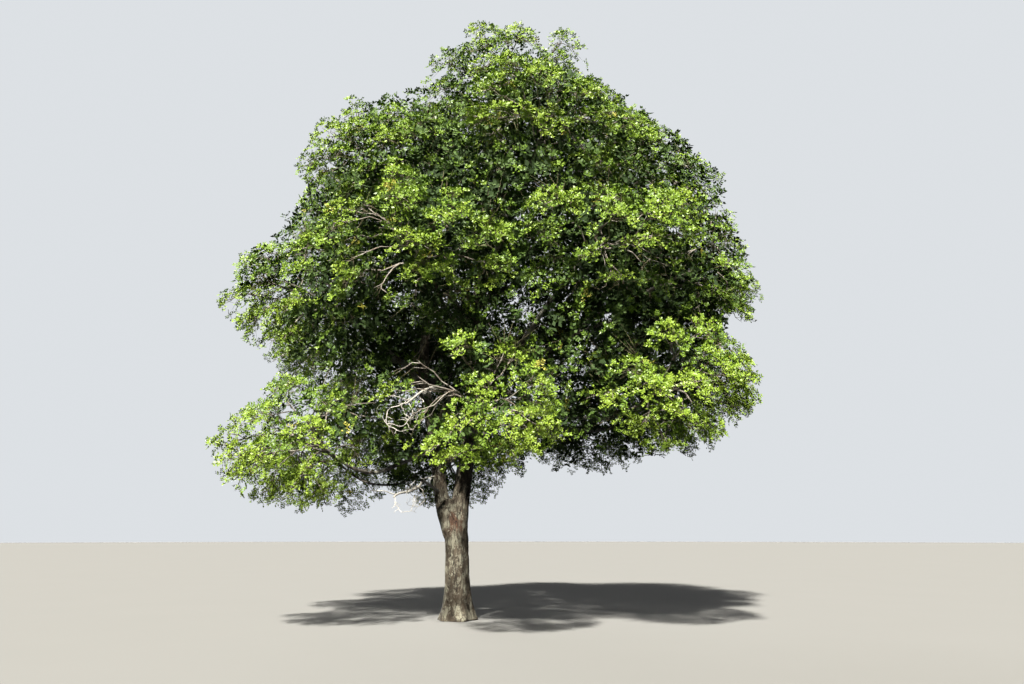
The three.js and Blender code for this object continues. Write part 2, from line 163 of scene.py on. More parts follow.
class Slot(Enum):
    """The record's finishes. Nothing here gives them to the pieces."""

    BARK = "bark"
    BOUGH_BARK = "bough_bark"
    DEAD_WOOD = "dead_wood"
    FOLIAGE = "foliage"


# Small sums on points

CELL_KEYS = np.array([374761393, 668265263, 1440662683])
SEED_KEY = 987643
MIX_KEY = 1274126177
WHOLE_BITS = 0x7FFFFFFF
VALUE_BITS = 0xFFFF


def point(x: float, y: float, z: float) -> Array:
    """A point or a way, from its three numbers."""
    return np.array([x, y, z], float)


def unit(ways: Array) -> Array:
    """The ways at length one."""
    return ways / np.maximum(np.linalg.norm(ways, axis=-1, keepdims=True), 1e-12)


def squashed(points: Array) -> Array:
    """Heights stretched so that a mass's space is a ball."""
    return points * np.array([1.0, 1.0, MASS_SQUASH])


def in_crown(points: Array) -> Array:
    """How far out each point is in the whole crown, from 0 in its middle to 1 at its edge."""
    return np.linalg.norm((points - CROWN_MIDDLE) / CROWN_SIZE, axis=1)


def away_from(points: Array, starts: Array, ends: Array) -> Array:
    """How far points are from straight lines.

    Args:
        points: The points, one a row.
        starts: Where each line starts, one a row.
        ends: Where each line ends.

    Returns:
        A table with a row for each point and a column for each line.
    """
    way = ends - starts
    reach = points[:, None] - starts[None]
    share = np.clip(np.einsum("nmk,mk->nm", reach, way) / (way**2).sum(-1), 0, 1)
    return np.linalg.norm(reach - share[..., None] * way, axis=-1)


def crumple(points: Array, seed: int = 0) -> Array:
    """Smooth uneven numbers from 0 to 1 all over space, about one bump to a unit.

    Args:
        points: The places, one a row.
        seed: A different pattern for each whole number.

    Returns:
        One number for each place.
    """
    cell = np.floor(points).astype(np.int64)
    share = points - cell
    share = share * share * (3 - 2 * share)
    total = np.zeros(len(points))
    for corner in itertools.product((0, 1), repeat=3):
        key = (cell + corner) @ CELL_KEYS + seed * SEED_KEY
        key = (key ^ (key >> 13)) * MIX_KEY & WHOLE_BITS
        value = ((key ^ (key >> 16)) & VALUE_BITS) / VALUE_BITS
        total += value * np.prod(np.where(corner, share, 1 - share), axis=1)
    return total


class Dice:
    """Numbers between two bounds that are the same on every run."""

    SIZE = 2**32
    FIRST = 2654435761
    FACTOR = 1664525
    STEP = 1013904223

    def __init__(self, seed: int) -> None:
        """Starts the row of numbers that belongs to a seed.

        Args:
            seed: The seed.
        """
        self.state = (seed * self.FIRST) % self.SIZE
        self.roll()
        self.roll()

    def roll(self, low: float = 0.0, high: float = 1.0) -> float:
        """The next number, from low to high."""
        self.state = (self.state * self.FACTOR + self.STEP) % self.SIZE
        return low + (high - low) * self.state / self.SIZE


# The rule by which the tree grows


@dataclass(frozen=True)
class Tier:
    """One tier of the crown: where its masses stand, and how thick their boughs are."""

    name: str
    height: float
    slope: float
    shift: float
    reach: float
    count: int
    turn: float
    root: float
    tip: float


TIERS = (
    Tier("top", 10550, 100, 1300, 0.27, 3, 20, 72, 36),
    Tier("upper", 8750, 200, 950, 0.58, 6, -20, 86, 38),
    Tier("middle", 6400, 300, 950, 0.71, 8, 21, 70, 35),
    Tier("skirt", 3850, 500, 950, 0.7, 7, 11, 62, 32),
)


@dataclass(eq=False)
class Mass:
    """One mass of foliage and the space that it keeps to."""

    name: str
    tier: Tier
    middle: Array
    seed: int
    reach: float

    def __post_init__(self) -> None:
        """Finds where its bough comes in, from the heart of the crown and below."""
        way = point(CROWN_HEART, 0, self.middle[2] - ENTRY_DROP) - self.middle
        self.entry = self.middle + way * (ENTRY_SHARE * self.reach / np.linalg.norm(squashed(way)))


@dataclass(eq=False)
class Limb:
    """One tapering, slightly crooked limb."""

    name: str
    start: Array
    start_way: Array
    end: Array
    end_way: Array
    root: float
    tip: float
    seed: int
    crook: float = CROOK
    mass: Mass | None = None
    is_stem: bool = False
    twigs: list["Limb"] = field(default_factory=list)

    def __post_init__(self) -> None:
        """Bends the line from start to end, and keeps a track of short straight lines along it."""
        self.span = float(np.linalg.norm(self.end - self.start))
        handle = self.span / 3
        self.corners = (
            self.start,
            self.start + unit(self.start_way) * handle,
            self.end - unit(self.end_way) * handle,
            self.end,
        )
        dice = Dice(self.seed)
        chord = unit(self.end - self.start)
        side = point(chord[1], -chord[0], 0)
        if np.linalg.norm(side) < 0.05:
            side = point(1, 0, 0)
        self.side_a = unit(side)
        self.side_b = np.cross(chord, self.side_a)
        self.phase_a = dice.roll(0, 2 * math.pi)
        self.phase_b = dice.roll(0, 2 * math.pi)
        track = self.points(np.arange(TRACK + 1) / TRACK)
        self.starts, self.ends = track[:-1], track[1:]
        self.thick = self.radii((np.arange(TRACK) + 0.5) / TRACK)

    def points(self, shares: Array | float) -> Array:
        """The middle line.

        Args:
            shares: Shares of the length.

        Returns:
            The points there, one a row.
        """
        t = np.asarray(shares, float)[..., None]
        a, b, c, d = self.corners
        line = (1 - t) ** 3 * a + 3 * (1 - t) ** 2 * t * b + 3 * (1 - t) * t**2 * c + t**3 * d
        window = np.sin(np.pi * t) ** 2 * self.crook * self.span
        wave_a = np.sin(WANDER_A * t + self.phase_a) * self.side_a
        wave_b = np.sin(WANDER_B * t + self.phase_b) * self.side_b
        return line + window * (wave_a + wave_b)

    def ways(self, shares: Array | float) -> Array:
        """The ways in which the limb runs.

        Args:
            shares: Shares of the length.

        Returns:
            The ways there, one a row.
        """
        t = np.asarray(shares, float)
        step = np.maximum(np.minimum(0.01, np.minimum(t, 1 - t)), 1e-4)
        return unit(self.points(np.minimum(t + step, 1)) - self.points(np.maximum(t - step, 0)))

    def radii(self, shares: Array | float) -> Array:
        """The radius, with the swelling at the foot.

        Args:
            shares: Shares of the length.

        Returns:
            The radius at each.
        """
        t = np.asarray(shares, float)
        taper = self.tip + (self.root - self.tip) * (1 - t) ** TAPER
        return taper * (1 + COLLAR * np.exp(-t * self.span / (COLLAR_REACH * self.root)))

    def frames(self, rings: int, spread: float = 1.0) -> "Frames":
        """The rings along the limb.

        Args:
            rings: How many there are after the first.
            spread: Over 1, they stand closer together near the foot.

        Returns:
            The rings.
        """
        shares = (np.arange(rings + 1) / rings) ** spread
        return Frames.along(shares, self.points(shares), self.ways(shares), self.radii(shares))


@dataclass
class Frames:
    """Rings along a limb: each one's share of the length, middle, way, crosswise way and radius."""

    shares: Array
    middles: Array
    ways: Array
    across: Array
    radii: Array

    @classmethod
    def along(cls, shares: Array, middles: Array, ways: Array, radii: Array) -> "Frames":
        """Rings whose crosswise way is carried on from one to the next without a twist.

        Args:
            shares: Each ring's share of the length.
            middles: Where its middle is.
            ways: The way that it looks.
            radii: Its radius.

        Returns:
            The rings.
        """
        across = UP if abs(ways[0][0]) > 0.8 else point(1, 0, 0)
        carried = []
        for way in ways:
            across = unit(across - across @ way * way)
            carried.append(across)
        return cls(shares, middles, ways, np.array(carried), radii)

    @property
    def third(self) -> Array:
        """The ways square to both the limb and its crosswise ways."""
        return np.cross(self.across, self.ways)


@dataclass(frozen=True)
class StemPlan:
    """How one of the two stems leaves the column."""

    name: str
    x: float
    lean: Place
    radius: float


@dataclass(frozen=True)
class DeadPlan:
    """Where a dead limb grows: its stem's number, the share of its length, and the limb's end and root."""

    name: str
    stem: int
    at: float
    end: Place
    root: float


LEFT_STEM = StemPlan("left_stem", -70, (-0.5, 0.08, 1), 152)
RIGHT_STEM = StemPlan("right_stem", -25, (0.08, -0.08, 1), 178)
DEAD_LIMBS = (
    DeadPlan("dead_limb_1", 1, 0.31, (-780, -2650, 3800), 46),
    DeadPlan("dead_limb_2", 0, 0.15, (-1050, -1850, 2250), 34),
)


class Skeleton:
    """The masses' spaces and all the limbs, from the stems outwards."""

    def __init__(self) -> None:
        """Grows the whole tree."""
        self.masses = self._masses()
        self.middles = np.array([mass.middle for mass in self.masses])
        self.entries = np.array([mass.entry for mass in self.masses])
        self.reaches = np.array([mass.reach for mass in self.masses])
        ends = point(0, 0, 0), UP, point(COLUMN_TOP, 0, COLUMN_HEIGHT), point(*COLUMN_LEAN)
        self.column = Limb("column", *ends, TRUNK_RADIUS, TRUNK_RADIUS, COLUMN_SEED, crook=0)
        left = min(self._tier("upper"), key=lambda mass: mass.middle[0])
        right = max(self._tier("top"), key=lambda mass: mass.middle[0])
        self.stems = [self._stem(left, LEFT_STEM), self._stem(right, RIGHT_STEM)]
        self.dead = [self._dead_limb(plan, index) for index, plan in enumerate(DEAD_LIMBS)]
        self.bare = [limb for dead in self.dead for limb in (dead, *dead.twigs)]
        self.limbs = list(self.stems)
        self.taken = [dead.start for dead in self.dead]
        for mass in self.masses:
            if mass is not left and mass is not right:
                self.limbs.append(self._bough(mass))
        self.everything = [*self.limbs, *self.bare]
        self.lines = self._stacked(self.everything)

    def _tier(self, name: str) -> list[Mass]:
        """The masses of one tier."""
        return [mass for mass in self.masses if mass.tier.name == name]

    @staticmethod
    def _masses() -> list[Mass]:
        """The masses of foliage, tier by tier.

        Returns:
            The masses, each a little out of the regular place and size by its own seed.
        """
        masses = []
        for row, tier in enumerate(TIERS):
            for i in range(tier.count):
                seed = 100 * (row + 1) + i
                dice = Dice(seed)
                degrees = tier.turn + 360 * i / tier.count + dice.roll(-TURN_PLAY, TURN_PLAY)
                turn = math.radians(degrees)
                reach = tier.reach * dice.roll(1 - REACH_PLAY, 1 + REACH_PLAY)
                middle = point(
                    tier.shift + CROWN_HALF_WIDTH * reach * math.cos(turn),
                    CROWN_HALF_DEPTH * reach * math.sin(turn),
                    tier.height + tier.slope * math.cos(turn) + dice.roll(-HEIGHT_PLAY, HEIGHT_PLAY),
                )
                size = MASS_REACH * dice.roll(1 - SIZE_PLAY, 1 + SIZE_PLAY)
                masses.append(Mass(f"{tier.name}_foliage_{i + 1}", tier, middle, seed, size))
        return masses

    @staticmethod
    def _stem(mass: Mass, plan: StemPlan) -> Limb:
        """One of the two stems.

        Args:
            mass: The mass at which it ends.
            plan: How it leaves the column.

        Returns:
            The stem, from inside the column.
        """
        end_way = mass.middle - mass.entry + point(0, 0, STEM_RISE)
        ends = point(plan.x, 0, STEM_START), point(*plan.lean), mass.entry, end_way
        return Limb(plan.name, *ends, plan.radius, STEM_TIP, mass.seed, STEM_CROOK, mass, is_stem=True)

    def _dead_limb(self, plan: DeadPlan, index: int) -> Limb:
        """A bare limb with short side twigs.

        Args:
            plan: Where it grows.
            index: Its number, from 0.

        Returns:
            The limb, with its twigs.
        """
        start = self.stems[plan.stem].points(plan.at)
        end = point(*plan.end)
        reach = unit(end - start)
        ends = start, reach + DEAD_RISE * UP, end, reach - DEAD_DROOP * UP
        limb = Limb(plan.name, *ends, plan.root, DEAD_TIP, DEAD_SEED + index, DEAD_CROOK)
        dice = Dice(DEAD_WAYS_SEED + index)
        for k in range(DEAD_TWIGS):
            t = DEAD_TWIG_FIRST + DEAD_TWIG_RUN * k / (DEAD_TWIGS - 1)
            side = np.cross(reach, UP) * (1 if k % 2 else -1)
            way = unit(limb.ways(t) + side + UP * dice.roll(-0.5, 0.7))
            foot = limb.points(t)
            tip = foot + way * DEAD_TWIG_LENGTH * dice.roll(0.55, 1)
            ends = foot, way, tip, way + UP * dice.roll(-0.6, 0.2)
            root, seed = DEAD_TWIG_ROOT * limb.radii(t), DEAD_TWIG_SEED + 10 * index + k
            name = f"{plan.name}_twig_{k}"
            limb.twigs.append(Limb(name, *ends, root, DEAD_TWIG_TIP, seed, DEAD_TWIG_CROOK))
        return limb

    def _roots(self, entry: Array, root: float) -> list[tuple[float, Limb, float, Array]]:
        """The places on thicker limbs from which a new bough could reach its mass, the easiest first.

        Args:
            entry: Where the bough ends.
            root: Its radius at its root, if there is room.

        Returns:
            The cost, the limb, the share of its length and the point of each place.
        """
        places = []
        for parent in self.limbs:
            t = STEM_CUT + STEM_MARGIN if parent.is_stem else LOWEST_ROOT
            while t < HIGHEST_ROOT:
                place = parent.points(t)
                if all(np.linalg.norm(other - place) >= ROOT_SPACING for other in self.taken):
                    reach = entry - place
                    along = unit(reach) @ parent.ways(t)
                    steep = max(0.0, CLIMB * math.hypot(reach[0], reach[1]) - reach[2])
                    thin = max(0.0, root / ROOT_SHARE - parent.radii(t))
                    bend = max(0.0, LEAST_BEND - along)
                    cost = np.linalg.norm(reach) + CLIMB_COST * steep + BEND_COST * bend**2
                    places.append((cost + THIN_COST * thin, parent, t, place))
                t += ROOT_STEP
        return sorted(places, key=lambda place: place[0])

    @staticmethod
    def _stacked(limbs: Sequence[Limb]) -> tuple[Array, Array, Array]:
        """The short lines of several limbs together.

        Args:
            limbs: The limbs.

        Returns:
            The lines' starts, ends and radii.
        """
        rows = [(limb.starts, limb.ends, limb.thick) for limb in limbs]
        starts, ends, thick = (np.concatenate(column) for column in zip(*rows, strict=True))
        return starts, ends, thick

    def _room(self, limb: Limb, own: int, lines: tuple[Array, Array, Array]) -> float:
        """How far a new limb stays from others, and from the middles of masses that aren't its own.

        Args:
            limb: The new limb.
            own: The number of its own mass.
            lines: The short lines of the other limbs.

        Returns:
            The least room, which is below 0 where it would run into something.
        """
        shares = np.arange(ROOM_STEPS + 1) / ROOM_STEPS
        points, radii = limb.points(shares), limb.radii(shares)[:, None]
        starts, ends, thick = lines
        least = (away_from(points, starts, ends) - thick - radii).min()
        others = np.arange(len(self.masses)) != own
        stems = away_from(points, self.entries[others], self.middles[others])
        cores = np.linalg.norm(squashed(points)[:, None] - squashed(self.middles[others]), axis=-1)
        cores -= CORE_SHARE * self.reaches[others]
        return min(least, (stems - radii).min() - MASS_STEM_ROOM, (cores - radii).min())

    def _bough(self, mass: Mass) -> Limb:
        """The bough of one mass, from the easiest place where it passes the other limbs.

        Args:
            mass: The mass.

        Returns:
            The bough.
        """
        tier, end, own = mass.tier, mass.entry, self.masses.index(mass)
        name = mass.name.replace("foliage", "bough")
        best, most = None, -math.inf
        for _, parent, t, place in self._roots(end, tier.root)[:ROOTS_TRIED]:
            lines = self._stacked([x for x in self.limbs if x is not parent] + self.bare)
            root = min(tier.root, ROOT_SHARE * float(parent.radii(t)))
            tip = min(tier.tip, TIP_SHARE * root)
            reach = unit(end - place)
            side = unit(np.cross(reach, UP))
            end_way = unit(mass.middle - end) + END_PULL * reach
            for bow in BOWS:
                way = parent.ways(t) * PARENT_PULL + reach + side * bow
                limb = Limb(name, place, way, end, end_way, root, tip, mass.seed, mass=mass)
                room = self._room(limb, own, lines)
                if room > most:
                    best, most = limb, room
                if room > BOUGH_ROOM:
                    break
            if most > BOUGH_ROOM:
                break
        self.taken.append(best.start)
        return best

    def in_space(self, points: Array, mass: Mass, inset: float = 0.0) -> Array:
        """Which points are in a mass's own space: its ball, up to the planes to its neighbours.

        Args:
            points: The points, one a row.
            mass: The mass.
            inset: How far inside the ball's edge they have to be.

        Returns:
            True or False for each point.
        """
        own = self.masses.index(mass)
        here, balls = squashed(points), squashed(self.middles)
        power = ((here[:, None] - balls) ** 2).sum(-1) - self.reaches**2
        apart = 2 * MASS_CLEARANCE * np.linalg.norm(balls - balls[own], axis=1)
        free = power - power[:, [own]] > apart
        free[:, own] = True
        inside = np.linalg.norm(here - balls[own], axis=1) < mass.reach - inset
        return inside & free.all(1)

    def clear_of_limbs(self, points: Array, room: Array | float) -> Array:
        """Which points keep this far off every limb."""
        starts, ends, thick = self.lines
        return ((away_from(points, starts, ends) - thick).min(1)) > room


# Finishes


class Reading:
    """One number that changes over a surface. Sums on it add Math nodes."""

    def __init__(self, recipe: "Recipe", socket: bpy.types.NodeSocket) -> None:
        """Wraps a socket of the recipe's nodes."""
        self.recipe, self.socket = recipe, socket

    def _sum(self, operation: str, *terms: "Reading | float", clamp: bool = False) -> "Reading":
        """A Math node on these terms."""
        settings = {"operation": operation, "use_clamp": clamp}
        return self.recipe.reading("ShaderNodeMath", settings, dict(enumerate(terms)))

    def __add__(self, other: "Reading | float") -> "Reading":
        """The sum."""
        return self._sum("ADD", self, other)

    def __sub__(self, other: "Reading | float") -> "Reading":
        """The difference."""
        return self._sum("SUBTRACT", self, other)

    def __rsub__(self, other: float) -> "Reading":
        """The difference from a plain number."""
        return self._sum("SUBTRACT", other, self)

    def __mul__(self, other: "Reading | float") -> "Reading":
        """The product."""
        return self._sum("MULTIPLY", self, other)

    __radd__, __rmul__ = __add__, __mul__

    def step(self, low: float, high: float) -> "Reading":
        """A soft step.

        Args:
            low: Where it is 0.
            high: Where it is 1.

        Returns:
            The step, from 0 to 1.
        """
        inputs = {0: self, 1: low, 2: high, 3: 0.0, 4: 1.0}
        settings = {"interpolation_type": "SMOOTHSTEP"}
        return self.recipe.reading("ShaderNodeMapRange", settings, inputs)


class Recipe:
    """One material and its nodes."""

    def __init__(self, name: str) -> None:
        """Starts a material with one plain shader.

        Args:
            name: The material's name.
        """
        self.material = bpy.data.materials.new(name)
        self.material.use_nodes = True
        self.tree = self.material.node_tree
        self.shader = self.tree.nodes["Principled BSDF"]

    def node(self, kind: str, settings: dict, inputs: dict) -> bpy.types.Node:
        """Adds one node.

        Args:
            kind: Its type.
            settings: Its own settings, which are set first.
            inputs: A value or a link for each of its sockets, by name or number.

        Returns:
            The node.
        """
        made = self.tree.nodes.new(kind)
        for key, value in settings.items():
            setattr(made, key, value)
        for key, value in inputs.items():
            self.feed(made.inputs[key], value)
        return made

    def feed(self, socket: bpy.types.NodeSocket, value: object) -> None:
        """Links a reading or a socket to a socket, or sets a plain value on it.

        Args:
            socket: The socket.
            value: The reading, socket, colour or number.
        """
        if isinstance(value, Reading):
            value = value.socket
        if isinstance(value, bpy.types.NodeSocket):
            self.tree.links.new(value, socket)
        elif isinstance(value, tuple) and socket.type == "RGBA":
            socket.default_value = (*value, 1.0)
        else:
            socket.default_value = value

    def reading(self, kind: str, settings: dict, inputs: dict, output: int | str = 0) -> Reading:
        """Adds one node and wraps one of its outputs."""
        return Reading(self, self.node(kind, settings, inputs).outputs[output])

    def place(self) -> bpy.types.NodeSocket:
        """The piece's own coordinates, in metres."""
        return self.node("ShaderNodeTexCoord", {}, {}).outputs["Object"]

    def attribute(self, name: str, output: str = "Vector") -> bpy.types.NodeSocket:
        """Numbers that the mesh carries."""
        return self.node("ShaderNodeAttribute", {"attribute_name": name}, {}).outputs[output]

    def vector_sum(self, operation: str, first: object, second: object) -> bpy.types.Node:
        """A sum on coordinates, such as their distance from a place."""
        return self.node("ShaderNodeVectorMath", {"operation": operation}, {0: first, 1: second})

    def stretched(self, vector: bpy.types.NodeSocket, scale: Place) -> bpy.types.NodeSocket:
        """Coordinates scaled differently along each axis."""
        return self.vector_sum("MULTIPLY", vector, scale).outputs[0]

    def noise(self, vector: bpy.types.NodeSocket, scale: float, detail: float = 3.0) -> Reading:
        """Cloudy numbers from 0 to 1."""
        inputs = {"Vector": vector, "Scale": scale, "Detail": detail, "Roughness": 0.6}
        return self.reading("ShaderNodeTexNoise", {}, inputs)

    def cells(self, vector: bpy.types.NodeSocket, scale: float, feature: str = "F1") -> Reading:
        """Numbers that grow from the middle of each cell, or from the cracks between cells."""
        inputs = {"Vector": vector, "Scale": scale}
        return self.reading("ShaderNodeTexVoronoi", {"feature": feature}, inputs)

    def mix(self, share: Reading | float, low: object, high: object) -> bpy.types.NodeSocket:
        """A colour between two, by share."""
        settings = {"data_type": "RGBA"}
        return self.node("ShaderNodeMix", settings, {0: share, 6: low, 7: high}).outputs[2]

    def bump(self, height: Reading, depth: float) -> None:
        """Raises the surface.

        Args:
            height: How high each place is, from 0 to 1.
            depth: The height that 1 stands for, in metres.
        """
        bump = self.node("ShaderNodeBump", {}, {"Height": height, "Distance": depth, "Strength": 1.0})
        self.feed(self.shader.inputs["Normal"], bump.outputs[0])

    def finished(self, colour: object, roughness: Reading | float) -> bpy.types.Material:
        """Feeds the shader.

        Args:
            colour: Its colour.
            roughness: Its roughness.

        Returns:
            The finished material.
        """
        self.feed(self.shader.inputs["Base Color"], colour)
        self.feed(self.shader.inputs["Roughness"], roughness)
        return self.material


@dataclass(frozen=True)
class BarkFinish:
    """Rough bark cracked lengthwise, with grey lichen over it.

    It reads the mesh's own attributes: grain, which runs round and along each limb, and relief, which is
    0 in the cracks. Where relief is low, the bark is darkened towards the crack colour as painted shade.
    Scales are in cells or clouds to a metre.
    """

    name: str
    # The crack colour is also what the bark's low places are darkened to, as painted shade.
    crack: Colour
    brown: Colour
    grey: Colour
    lichen: Colour
    lichen_share: float
    inner: Colour | None = None
    inner_patch: Place | None = None
    plate_scale: float = 17.0
    plate_stretch: Place = (1.0, 1.0, 0.2)
    hairline_scale: float = 2.6
    hairline_stretch: Place = (1.0, 1.0, 0.3)
    fibre_stretch: Place = (1.0, 1.0, 0.07)
    wander: Place = (0.07, 0.07, 0.16)
    depth: float = 0.012

    def _cracks(self, recipe: Recipe, grain: bpy.types.NodeSocket) -> tuple[Reading, Reading]:
        """Wandering cracks between long plates, wide here and closed there, and each plate's own shade.

        Args:
            recipe: The material.
            grain: The coordinates round and along the limb.

        Returns:
            How deep in a crack each place is, and the plates' shades, both from 0 to 1.
        """
        clouds = recipe.node("ShaderNodeTexNoise", {}, {"Vector": grain, "Scale": 9.0, "Detail": 4.0})
        offset = recipe.stretched(clouds.outputs["Color"], self.wander)
        warped = recipe.vector_sum("ADD", grain, offset).outputs[0]
        long_plates = recipe.stretched(warped, self.plate_stretch)
        edges = recipe.cells(long_plates, self.plate_scale, "DISTANCE_TO_EDGE")
        small_plates = recipe.stretched(warped, self.hairline_stretch)
        fine = recipe.cells(small_plates, self.hairline_scale * self.plate_scale, "DISTANCE_TO_EDGE")
        width = recipe.noise(grain, 7, 3)
        crack = 1 - (edges + 0.14 * width).step(0.06, 0.17)
        hairline = (1 - fine.step(0.02, 0.12)) * width.step(0.42, 0.6)
        inputs = {"Vector": long_plates, "Scale": self.plate_scale}
        plates = recipe.node("ShaderNodeTexVoronoi", {}, inputs).outputs["Color"]
        shade = recipe.reading("ShaderNodeSeparateColor", {}, {0: plates})
        return crack + 0.45 * hairline, shade

    def make(self) -> bpy.types.Material:
        """Mixes the material, from the inner bark outwards to the lichen.

        Returns:
            The finished material.
        """
        recipe = Recipe(self.name)
        place, grain = recipe.place(), recipe.attribute("grain")
        relief = Reading(recipe, recipe.attribute("relief", "Fac"))
        crack, shade = self._cracks(recipe, grain)
        fibres = recipe.noise(recipe.stretched(grain, self.fibre_stretch), 120, 5)
        cloud = recipe.noise(place, 3.1, 6)
        weathered = (cloud + 0.22 * shade + 0.3 * fibres).step(0.5, 0.98)
        base = recipe.mix(weathered, self.brown, self.grey)
        base = recipe.mix(0.55 * fibres.step(0.42, 0.72), base, self.crack)
        if self.inner_patch:
            away = recipe.vector_sum("DISTANCE", place, self.inner_patch).outputs["Value"]
            near = 1 - (Reading(recipe, away) + 0.5 * cloud + 0.2 * shade).step(0.36, 0.66)
            base = recipe.mix(0.7 * near, base, self.inner)
        blotch, grit = recipe.noise(place, 6.5, 8), recipe.noise(place, 48, 6)
        edge = 0.72 - 0.3 * self.lichen_share
        cover = (blotch + 0.34 * grit - 0.12 * crack).step(edge, edge + 0.13)
        base = recipe.mix(0.8 * cover * (0.45 + grit), base, self.lichen)
        # Painted shade: the low places of the carved relief are darkened. The cracks are darkened too,
        # partly as their own dark colour and partly as painted shade.
        sunk_shade = (1 - relief.step(0.1, 0.5)) * 0.55
        dark = (sunk_shade + 0.62 * crack).step(0.08, 1.15)
        recipe.bump((1 - crack) * 0.55 + 0.35 * fibres + 0.2 * grit, self.depth)
        return recipe.finished(recipe.mix(dark, base, self.crack), 0.8 + 0.16 * fibres)


@dataclass(frozen=True)
class DeadWoodFinish:
    """Bare wood bleached silver, with fine drying cracks and some lichen."""

    name: str
    pale: Colour
    dull: Colour
    crack: Colour
    lichen: Colour
    fibre_stretch: Place = (1.0, 1.0, 0.05)
    split_stretch: Place = (1.0, 1.0, 0.07)
    depth: float = 0.004

    def make(self) -> bpy.types.Material:
        """Mixes the material.

        Returns:
            The finished material.
        """
        recipe = Recipe(self.name)
        place, grain = recipe.place(), recipe.attribute("grain")
        fibres = recipe.noise(recipe.stretched(grain, self.fibre_stretch), 260, 3)
        splits = recipe.noise(recipe.stretched(grain, self.split_stretch), 90, 2).step(0.56, 0.66)
        cloud = recipe.noise(place, 9, 4)
        base = recipe.mix(cloud.step(0.36, 0.64), self.dull, self.pale)
        base = recipe.mix(0.35 * fibres, base, self.dull)
        lichen = recipe.noise(place, 30, 4).step(0.6, 0.66)
        base = recipe.mix(0.7 * lichen, base, self.lichen)
        recipe.bump(fibres * 0.5 - splits * 0.5 + 0.5, self.depth)
        return recipe.finished(recipe.mix(0.7 * splits, base, self.crack), 0.74 + 0.2 * fibres)


@dataclass(frozen=True)
class TwigFinish:
    """Smooth thin bark, brown where it is young and grey where it is old."""

    name: str
    young: Colour
    old: Colour
    depth: float = 0.002

    def make(self) -> bpy.types.Material:
        """Mixes the material.

        Returns:
            The finished material.
        """
        recipe = Recipe(self.name)
        place = recipe.place()
        cloud, spots = recipe.noise(place, 5, 3), recipe.noise(place, 70, 2)
        base = recipe.mix((cloud + 0.3 * spots).step(0.45, 0.8), self.young, self.old)
        recipe.bump(spots, self.depth)
        return recipe.finished(base, 0.7 + 0.2 * spots)


@dataclass(frozen=True)
class LeafFinish:
    """Thin, slightly glossy leaflets of one tint, a little uneven from leaf to leaf and bough to bough."""

    name: str
    tint: Colour
    fresh: Colour
    roughness: float = 0.4

    def make(self) -> bpy.types.Material:
        """Mixes the material.

        Returns:
            The finished material.
        """
        recipe = Recipe(self.name)
        place = recipe.place()
        leaf, bough = recipe.noise(place, 13, 2), recipe.noise(place, 1.9, 2)
        share = (0.6 * leaf + 0.4 * bough).step(0.36, 0.64)
        return recipe.finished(recipe.mix(share, self.tint, self.fresh), self.roughness + 0.14 * leaf)


@dataclass(frozen=True)
class FloorFinish:
    """Plain pale studio floor."""

    name: str
    pale: Colour

    def make(self) -> bpy.types.Material:
        """Mixes the material.

        Returns:
            The finished material.
        """
        recipe = Recipe(self.name)
        cloud = recipe.noise(recipe.place(), 0.4, 2)
        soft = tuple(0.97 * x for x in self.pale)
        recipe.feed(recipe.shader.inputs["Specular IOR Level"], 0.0)
        return recipe.finished(recipe.mix(cloud, self.pale, soft), 0.85 + 0.05 * cloud)


@dataclass(frozen=True)
class BackdropFinish:
    """A plain pale backdrop that is seen but casts no light of its own on the tree."""

    name: str
    pale: Colour

    def make(self) -> bpy.types.Material:
        """Mixes the material.

        Returns:
            The finished material.
        """
        recipe = Recipe(self.name)
        recipe.feed(recipe.shader.inputs["Emission Color"], self.pale)
        recipe.feed(recipe.shader.inputs["Emission Strength"], 1.0)
        recipe.feed(recipe.shader.inputs["Specular IOR Level"], 0.0)
        return recipe.finished((0.0, 0.0, 0.0), 0.5)


TRUNK_BARK = BarkFinish(
    "trunk_bark",
    crack=(0.018, 0.013, 0.009),
    brown=(0.085, 0.06, 0.039),
    grey=(0.155, 0.132, 0.096),
    lichen=(0.33, 0.315, 0.24),
    lichen_share=0.34,
    inner=(0.165, 0.068, 0.04),
    inner_patch=(-0.06, -0.26, 1.82),
)
BOUGH_BARK = BarkFinish(
    "bough_bark",
    crack=(0.035, 0.028, 0.022),
    brown=(0.135, 0.106, 0.08),
    grey=(0.245, 0.222, 0.185),
    lichen=(0.46, 0.45, 0.38),
    lichen_share=0.5,
    plate_scale=30.0,
)
DEAD_WOOD = DeadWoodFinish(
    "dead_wood",
    pale=(0.66, 0.63, 0.57),
    dull=(0.42, 0.39, 0.34),
    crack=(0.09, 0.075, 0.06),
    lichen=(0.68, 0.69, 0.6),
)
TWIG_BARK = TwigFinish("twig_bark", (0.15, 0.115, 0.085), (0.33, 0.3, 0.26))
YOUNG_TWIG_BARK = TwigFinish("young_twig_bark", (0.12, 0.12, 0.045), (0.21, 0.17, 0.11))


# Modelling


